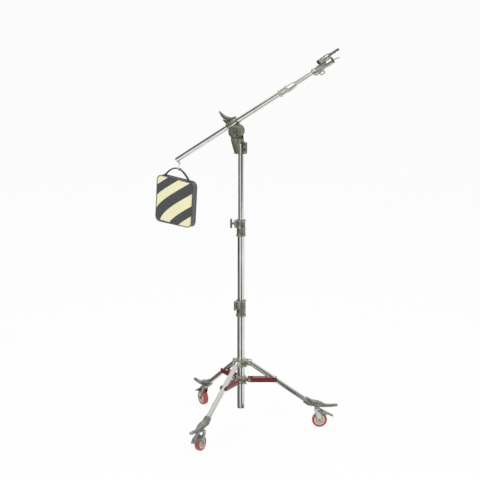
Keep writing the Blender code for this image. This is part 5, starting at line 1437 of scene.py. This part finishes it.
@dataclass
class Boom:
    """The two boom tubes, the twist collar, the tip clamp with its spigot and handles, and the hook."""

    datum: Datum
    radius: float = 0.0125
    wall: float = 0.0012
    rear: float = -0.3516
    rear_front: float = 0.3357
    collar_start: float = 0.29
    collar_end: float = 0.389
    collar_ring: float = 0.336
    collar_slim: float = 0.0136
    lever_half: float = 0.0055
    front_radius: float = 0.011
    front_start: float = -0.0943
    front_end: float = 0.5974
    tip_end: float = 0.6057
    spigot_rise: float = 0.0266
    spigot_start: float = 0.537
    shoulder: float = 0.609
    spigot_radius: float = 0.008
    tip_handle_x: float = 0.515
    end_pin_drop: float = 0.003
    hook_wire: float = 0.002

    def tubes(self) -> None:
        """The rear and front tubes, the rear plug and the eye under it."""
        r, inner = self.radius, self.radius - self.wall
        along = self.datum.boom() @ ALONG_X
        profile = [(inner, self.rear + 0.001), (r - 0.0005, self.rear + 0.001), (r, self.rear + 0.0015),
                   (r, self.rear_front), (inner, self.rear_front)]
        lug = self.datum.boom() @ place(self.datum.eye_x, 0, -self.datum.eye_drop)
        ring = Bench.lathe([(0.003, -0.0016), (0.0034, -0.002), (0.0051, -0.002), (0.0056, -0.0015),
                            (0.0056, 0.0015), (0.0051, 0.002), (0.0034, 0.002), (0.003, 0.0016)],
                           lug @ ALONG_Y, 40)
        neck = Bench.slab([(-0.005, 0.0042), (0.005, 0.0042), (0.0056, 0.009), (-0.0056, 0.009)], -0.0018,
                          0.0018, lug, 0.0004, 2)
        Bench.release(Bench.gather(Bench.lathe(profile, along, 64), ring, neck), "boom_tube_rear_plated",
                      Body.BOOM.of(), CHROME, "chrome_tube", ["boom_tube_rear"])
        plug = Bench.lathe([(0, self.rear), (r - 0.0016, self.rear), (r - 0.0008, self.rear + 0.0006),
                            (inner, self.rear + 0.0012), (inner, self.rear + 0.014), (0, self.rear + 0.014)],
                           along, 48)
        Bench.release(plug, "boom_rear_plug", Body.BOOM.of(), BLACK, "black_rubber")
        r, inner = self.front_radius, self.front_radius - self.wall
        front = Bench.band(inner, r, self.front_start, self.front_end, along, 64)
        Bench.release(front, "boom_tube_front_plated", Body.FRONT.of(), CHROME, "chrome_tube",
                      ["boom_tube_front"])

    def twist_collar(self) -> None:
        """The twist collar, with fluted grips at both ends."""
        start, end, ring = self.collar_start, self.collar_end, self.collar_ring
        bore, throat, slim = self.radius + 0.0003, self.front_radius + 0.0003, self.collar_slim
        profile = [(bore, start), (0.0172, start), (0.018, start + 0.0008), (0.018, start + 0.0092),
                   (0.0172, start + 0.01), (0.016, start + 0.0118), (0.016, ring - 0.0012),
                   (0.0176, ring + 0.0004), (0.0185, ring + 0.0012), (0.0185, ring + 0.0088),
                   (0.0176, ring + 0.0096), (0.0155, ring + 0.0112), (slim + 0.0006, end - 0.016),
                   (slim, end - 0.012), (slim, end - 0.0008), (slim - 0.0007, end), (throat, end),
                   (throat, ring), (bore, ring)]
        bm = Bench.lathe(profile, IDENTITY, 72)
        grips = ((start + 0.0004, start + 0.0096), (ring + 0.0008, ring + 0.0092))
        for vert in bm.verts:
            step = round(math.degrees(math.atan2(vert.co.y, vert.co.x)) / 5.0)
            if step % 2 and vert.co.xy.length > 0.0168 and any(low < vert.co.z < high for low, high in grips):
                vert.co.xy *= 0.965
        bmesh.ops.transform(bm, matrix=self.datum.boom() @ ALONG_X, verts=bm.verts)
        lever = Bench.slab([(ring + 0.008, -slim + 0.0005), (ring + 0.008, -0.0175), (ring + 0.011, -0.0182),
                            (ring + 0.02, -0.018), (end - 0.005, -0.016), (end - 0.003, -0.015),
                            (end - 0.003, -slim + 0.0005)], -self.lever_half, self.lever_half,
                           self.datum.boom(), 0.001, 3)
        Bench.release(Bench.gather(bm, lever), "boom_collar_cast", Body.COLLAR.of(), COLLAR_PLATE, "casting",
                      ["boom_collar"], smooth=28.0)

    def tip(self) -> None:
        """The tip clamp with its screws and dark end face, and the spigot with its rubber cap."""
        frame = self.datum.boom()
        clamp = Bench.softened("tip_clamp", 0.0008)
        Bench.release(clamp, "tip_clamp_cast", Body.FRONT.of(), TIP_PLATE, "casting", ["tip_clamp"])
        face = Bench.lathe([(0.004, self.tip_end - 0.0001), (0.015, self.tip_end - 0.0001),
                            (0.015, self.tip_end + 0.0004), (0.0144, self.tip_end + 0.0008),
                            (0.0046, self.tip_end + 0.0008), (0.004, self.tip_end + 0.0004)],
                           frame @ place(0, 0, -0.0006) @ ALONG_X, 48)
        Bench.release(face, "tip_clamp_end_face", Body.FRONT.of(), BLACK, "black_rubber")
        seats = [frame @ place(x, 0, self.spigot_rise - 0.006) @ axis_turn("X", angle)
                 for x in (0.5625, 0.5945) for angle in (-90.0, 90.0)]
        screws = Bench.studs([(0, 0.007), (0.0026, 0.007), (0.0028, 0.0118), (0.0022, 0.0128), (0, 0.013)],
                             seats, 24)
        Bench.release(screws, "tip_clamp_screws", Body.FRONT.of(), ZINC, "bolt_steel")
        axis = frame @ place(0, 0, self.spigot_rise) @ ALONG_X
        r, neck, shoulder = self.spigot_radius, 0.0062, self.shoulder
        ball, size = shoulder + 0.042 + 0.0048, 0.006
        arc = [(size * math.sin(math.radians(a)), ball - size * math.cos(math.radians(a)))
               for a in range(50, 181, 13)]
        profile = [(0, self.spigot_start), (r, self.spigot_start), (r, shoulder - 0.0006),
                   (r - 0.0006, shoulder), (neck + 0.0004, shoulder), (neck, shoulder + 0.0004),
                   (neck, shoulder + 0.03), (neck - 0.0012, shoulder + 0.032),
                   (neck - 0.0012, shoulder + 0.036), (neck, shoulder + 0.0376), (neck, ball - size * 0.9)]
        Bench.release(Bench.lathe(profile + arc[:-1] + [(0, ball + size)], axis, 56), "tip_spigot_steel",
                      Body.FRONT.of(), PIN_STEEL, "bolt_steel", ["tip_spigot"])
        start = self.spigot_start - 0.0018
        outer = r + 0.0018
        cap = Bench.lathe([(0, start), (outer - 0.0016, start), (outer - 0.0005, start + 0.0005),
                           (outer, start + 0.0016), (outer, start + 0.0085), (outer, start + 0.0112),
                           (outer - 0.0006, start + 0.012), (r + 0.0003, start + 0.012),
                           (r + 0.0003, start + 0.0015), (0, start + 0.0015)], axis, 48)
        Bench.release(cap, "spigot_cap_rubber", Body.FRONT.of(), BLACK, "black_rubber", ["spigot_cap"])

    def handles(self) -> None:
        """The D-shaped handle under the tip clamp and the bent release pin in its end."""
        wire, seat = 0.0022, -0.0171
        frame = self.datum.boom() @ place(self.tip_handle_x, 0, 0)
        bar_z = seat - wire
        screw = Bench.lathe([(0, bar_z - wire - 0.0005), (wire, bar_z - wire - 0.0005),
                             (wire + 0.0004, bar_z - wire), (wire + 0.0004, -0.0113), (0, -0.0113)], frame,
                            24)
        bar = Bench.wire([Vector((-0.0225, 0, bar_z)), Vector((-0.0215, 0, bar_z)), Vector((0.0, 0, bar_z)),
                          Vector((0.006, 0, bar_z))], wire, frame, 18)
        left, right, top, low, corner = 0.0023, 0.0259, seat - 0.0026, -0.032, 0.0042
        path = [Vector((left, 0, top))]
        for cx, cz, begin in ((left + corner, low + corner, 180.0), (right - corner, low + corner, 270.0),
                              (right - corner * 0.6, top - corner * 0.6, 0.0),
                              (left + corner * 0.6, top - corner * 0.6, 90.0)):
            reach = corner if begin >= 180.0 else corner * 0.6
            for step in range(5):
                angle = math.radians(begin + 90.0 * step / 4)
                path.append(Vector((cx + reach * math.cos(angle), 0, cz + reach * math.sin(angle))))
        loop = Bench.wire(path + [Vector((left, 0, top - 0.003))], 0.002, frame, 18)
        Bench.release(Bench.gather(screw, bar, loop), "tip_handle_cast", Body.D_HANDLE.of(), WING_CAST,
                      "handle_metal", ["tip_handle"])
        start, lip = self.tip_end - 0.003, self.tip_end + 0.0003
        drop = self.datum.boom() @ place(0, 0, -self.end_pin_drop)
        boss = Bench.lathe([(0, start), (wire, start), (wire, lip), (0.0041, lip), (0.0045, lip + 0.0005),
                            (0.0045, lip + 0.0055), (0.003, lip + 0.0078), (0, lip + 0.0082)], drop @ ALONG_X,
                           32)
        bend = axis_turn("Y", 9.0)
        lever = [place(lip + 0.006, 0, 0) @ bend @ Vector((x, 0, 0))
                 for x in (0.0, 0.008, 0.016, 0.024, 0.0285, 0.0298)]
        Bench.release(Bench.gather(boss, Bench.wire(lever, 0.0021, drop, 18)), "tip_end_pin_steel",
                      Body.END_PIN.of(), PIN_STEEL, "handle_metal", ["tip_end_pin"])

    def hook(self) -> None:
        """The bent wire hook between the boom's eye and the sandbag's strap."""
        ring, bend, drop = 0.0068, 0.0095, 0.029
        points = []
        for step in range(33):
            angle = math.radians(60.0 + 300.0 * step / 32)
            points.append(Vector((0, ring * math.sin(angle), -ring - ring * math.cos(angle))))
        turn = math.radians(self.datum.head_azimuth - self.datum.bag_yaw)
        across = Vector((-math.sin(turn), math.cos(turn), 0))
        points.append(Vector((0, 0, -drop + 0.01)) - across * bend * 0.75)
        for step in range(23):
            angle = math.radians(180.0 + 200.0 * step / 22)
            points.append(across * bend * math.cos(angle) + Vector((0, 0, -drop + bend * math.sin(angle))))
        bm = Bench.wire(points, self.hook_wire, self.datum.hook(), 16)
        Bench.release(bm, "bag_hook_wire", Body.HOOK.of(), WIRE, "bolt_steel", ["bag_hook"])

    def build(self) -> None:
        """Build the boom."""
        self.tubes()
        self.twist_collar()
        self.tip()
        self.handles()
        self.hook()


@dataclass
class Sandbag:
    """The striped sandbag with piping, a carrying strap and sewn patches."""

    datum: Datum
    width: float = 0.238
    slip: float = 0.012
    height: float = 0.234
    depth: float = 0.036
    corner: float = 0.028
    roll: float = 4.0
    strap_span: float = 0.165
    strap_rise: float = 0.046
    strap_width: float = 0.01
    strap_thickness: float = 0.005
    strap_power: float = 1.8
    strap_bow: float = 2.1
    hook_drop: float = 0.029
    strap_drop: float = 0.004753
    sunk: float = 0.0035
    voxel: float = 0.0045
    swell_cap: float = 0.0045
    sag: float = 0.0016
    frames: int = 18

    def base(self) -> Matrix:
        """Frame on the bag's top, under the strap's arch."""
        inner = self.strap_span / 2 - self.strap_thickness
        share = (1.0 - (self.slip / inner) ** self.strap_power) ** (1.0 / self.strap_power)
        rise, roll = share * (self.strap_rise - self.strap_thickness), math.radians(self.roll)
        aside = -rise * math.sin(roll) - self.slip * math.cos(roll)
        lift = -self.hook_drop - self.strap_drop - rise * math.cos(roll) + self.slip * math.sin(roll)
        return self.datum.bag() @ place(aside, 0, lift) @ axis_turn("Y", self.roll)

    def centre(self) -> Matrix:
        """Frame at the bag's centre."""
        return self.base() @ place(0, 0, -self.height / 2 - self.sunk)

    def shell(self) -> bpy.types.Object:
        """The bag's shell: a rounded box, remeshed, then swollen and settled between its seams.

        Returns:
            The bag's object, in its own frame and not yet dressed.
        """
        bm = bmesh.new()
        bmesh.ops.create_cube(bm, size=1.0)
        bmesh.ops.scale(bm, vec=(self.width - 0.002, self.depth - 0.004, self.height - 0.002), verts=bm.verts)
        Bench.bevel(bm, [e for e in bm.edges if abs(e.verts[0].co.y - e.verts[1].co.y) > 0.01], self.corner,
                    8)
        Bench.bevel(bm, [e for e in bm.edges if e.calc_face_angle(0.0) > math.radians(60)], 0.003, 2)
        bmesh.ops.recalc_face_normals(bm, faces=bm.faces)
        bag = Bench.stand("sandbag_cloth", Bench.mesh(bm, "sandbag_shell"))
        remesh = bag.modifiers.new("remesh", "REMESH")
        remesh.mode = "VOXEL"
        remesh.voxel_size = self.voxel
        self.bake(bag)
        self.swell(bag)
        return bag

    def bake(self, bag: bpy.types.Object) -> None:
        """Apply the object's modifiers to its mesh."""
        bpy.context.view_layer.update()
        evaluated = bag.evaluated_get(bpy.context.evaluated_depsgraph_get())
        mesh = bpy.data.meshes.new_from_object(evaluated)
        bag.modifiers.clear()
        bag.data = mesh

    def seam_share(self, point: Vector) -> float:
        """How firmly a point is held by the seams, from 0 to 1."""
        reach_x = abs(point.x) - (self.width / 2 - self.corner)
        reach_z = abs(point.z) - (self.height / 2 - self.corner)
        outside = math.hypot(max(reach_x, 0.0), max(reach_z, 0.0))
        inward = self.corner - outside if max(reach_x, reach_z) > 0 else self.corner
        return 1.0 if inward < 0.006 else max(0.0, 1.0 - (inward - 0.006) / 0.012)

    def swell(self, bag: bpy.types.Object) -> None:
        """Args:
            bag: The remeshed bag.
        """
        start = [vertex.co.copy() for vertex in bag.data.vertices]
        seams = bag.vertex_groups.new(name="seams")
        for index, point in enumerate(start):
            seams.add([index], self.seam_share(point), "REPLACE")
        cloth = bag.modifiers.new("cloth", "CLOTH")
        for key, value in CLOTH_SETTINGS.items():
            setattr(cloth.settings, key, value)
        cloth.settings.effector_weights.gravity = 0.0
        cloth.settings.vertex_group_mass = "seams"
        cloth.point_cache.frame_start = 1
        cloth.point_cache.frame_end = self.frames
        scene = bpy.context.scene
        for frame in range(1, self.frames + 1):
            scene.frame_set(frame)
        self.bake(bag)
        scene.frame_set(1)
        for vertex, old in zip(bag.data.vertices, start):
            grown = vertex.co - old
            if grown.length > self.swell_cap:
                grown *= self.swell_cap / grown.length
            sag = self.sag * math.sin(old.x * 34.0 + old.z * 13.0) * max(0.0, 0.5 - old.z / self.height)
            free = 1.0 - self.seam_share(old)
            vertex.co = old + grown + Vector((0, math.copysign(1.0, old.y) * sag * free,
                                              self.settle(old.x, old.z)))

    def settle(self, x: float, z: float) -> float:
        """How far a point of the bag's face hangs below its place on a flat, square bag.

        Args:
            x: Place across the bag, from its centre.
            z: Place up the bag, from its centre.

        Returns:
            The shift along the bag's height, negative where it hangs lower.
        """
        left = min(max(0.5 - x / self.width, 0.0), 1.0)
        low = min(max(0.5 - z / self.height, 0.0), 1.0)
        return -0.004 * left + low * (0.0035 * (1.0 - left) ** 2 - 0.0055 * left ** 1.2)

    def outline(self, inset: float) -> list[tuple[float, float]]:
        """Points round the bag's face, as (x, z).

        Args:
            inset: How far inside the bag's edge they run.

        Returns:
            The points, in order round the face.
        """
        radius = self.corner - inset
        x, z = self.width / 2 - self.corner, self.height / 2 - self.corner
        points = []
        for cx, cz, begin in ((x, z, 0), (-x, z, 90), (-x, -z, 180), (x, -z, 270)):
            for step in range(9):
                angle = math.radians(begin + 90.0 * step / 8)
                x_here, z_here = cx + radius * math.cos(angle), cz + radius * math.sin(angle)
                points.append((x_here, z_here + self.settle(x_here, z_here)))
        return points

    def piping(self) -> Shape:
        """The cord of cloth that binds the front and the back seam."""
        rings = []
        for y in (-self.depth / 2 + 0.0028, self.depth / 2 - 0.0028):
            points = [Vector((x, y, z)) for x, z in self.outline(0.0014)]
            rings.append(Bench.wire(points + [points[0], points[1]], 0.0017, self.centre(), 12))
        return Bench.gather(*rings)

    def stitches(self) -> Shape:
        """A row of lock stitches inside the seam of each face."""
        made = []
        for y in (-self.depth / 2, self.depth / 2):
            points = [Vector((x, 0, z)) for x, z in self.outline(0.0062)]
            points.append(points[0])
            for first, second in zip(points, points[1:]):
                span = (second - first).length
                count = max(1, round(span / 0.006))
                for step in range(count):
                    begin = first.lerp(second, (step + 0.2) / count)
                    end = first.lerp(second, (step + 0.8) / count)
                    lift = Vector((0, y, 0))
                    made.append(Bench.wire([begin + lift, end + lift], 0.0003, self.centre(), 5))
        return Bench.gather(*made)

    def strap(self) -> Shape:
        """The carrying strap: webbing that arches from one top corner to the other."""
        half, rise, foot = self.strap_span / 2, self.strap_rise, -self.sunk - 0.003
        hook = self.slip / half
        path, thick = [], []
        for step in range(49):
            share = -math.cos(math.pi * step / 48)
            height = 1.0 - abs(share) ** self.strap_bow
            thick.append(self.strap_thickness + 0.002 * min(1.0, max(0.0, abs(share - hook) - 0.12) / 0.25))
            path.append(Vector((share * (half - thick[-1] / 2), 0,
                                foot + height * (rise - thick[-1] / 2 - foot))))
        frames = []
        for index, point in enumerate(path):
            ahead = path[min(index + 1, 48)] - path[max(index - 1, 0)]
            turn = math.degrees(math.atan2(ahead.x, ahead.z))
            frames.append((place(*point) @ axis_turn("Y", turn), thick[index] / 2, self.strap_width / 2))
        return Bench.stack(frames, 20, 0.55, self.base())

    def patches(self) -> Shape:
        """The sewn tabs of webbing where the strap meets the bag."""
        made = []
        half = self.strap_span / 2 - self.strap_thickness / 2
        for side in (-1.0, 1.0):
            x = side * half
            rise = -self.sunk + self.settle(x, self.height / 2)
            made.append(Bench.slab([(x - 0.011, rise - 0.0008), (x + 0.011, rise - 0.0008),
                                    (x + 0.011, rise + 0.0013), (x - 0.011, rise + 0.0013)], -0.0085, 0.0085,
                                   self.base(), 0.0006, 2))
        return Bench.gather(*made)

    def build(self) -> None:
        """Build the sandbag."""
        centre = self.centre()
        bag = self.shell()
        bag.data.transform(centre)
        bag.data.update()
        spot, turn = (tuple(round(v, 6) for v in part)
                      for part in (centre.to_translation(), centre.to_euler()))
        cloth = StripedCloth(place=spot, turn=turn)
        plain = StripedCloth("plain_cloth", place=spot, turn=turn, charcoal="3f3f44", striped=False)
        bag.data.materials.clear()
        bag.data.materials.append(cloth.material())
        bag.data.shade_smooth()
        smooth = bag.modifiers.new("smooth", "SUBSURF")
        smooth.levels = smooth.render_levels = 1
        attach(bag, Body.BAG.of())
        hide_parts("sandbag")
        LOG.info("sandbag_cloth: %d faces", len(bag.data.polygons))
        Bench.release(self.piping(), "sandbag_piping", Body.BAG.of(), plain, "bag_cloth", smooth=60.0)
        Bench.release(self.stitches(), "sandbag_stitches", Body.BAG.of(), GREY_NYLON, "bag_cloth")
        Bench.release(self.strap(), "sandbag_strap_webbing", Body.BAG.of(), WEBBING, "strap_cloth",
                      ["sandbag_strap"], smooth=60.0)
        Bench.release(self.patches(), "sandbag_strap_tabs", Body.BAG.of(), WEBBING, "strap_cloth")


def main() -> None:
    """Load the frame, then build and report each sub-assembly."""
    logging.basicConfig(level=logging.INFO, format="%(name)s: %(message)s")
    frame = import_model()
    NODES.update(frame["nodes"])
    datum = Datum()
    datum.find()
    Studio().build(datum)
    Column(datum).build()
    Hubs(datum).build()
    for index, side in enumerate(LEG_NAMES):
        Leg(datum, index, side).build()
    Head(datum).build()
    Boom(datum).build()
    Sandbag(datum).build()


if __name__ == "__main__":
    main()
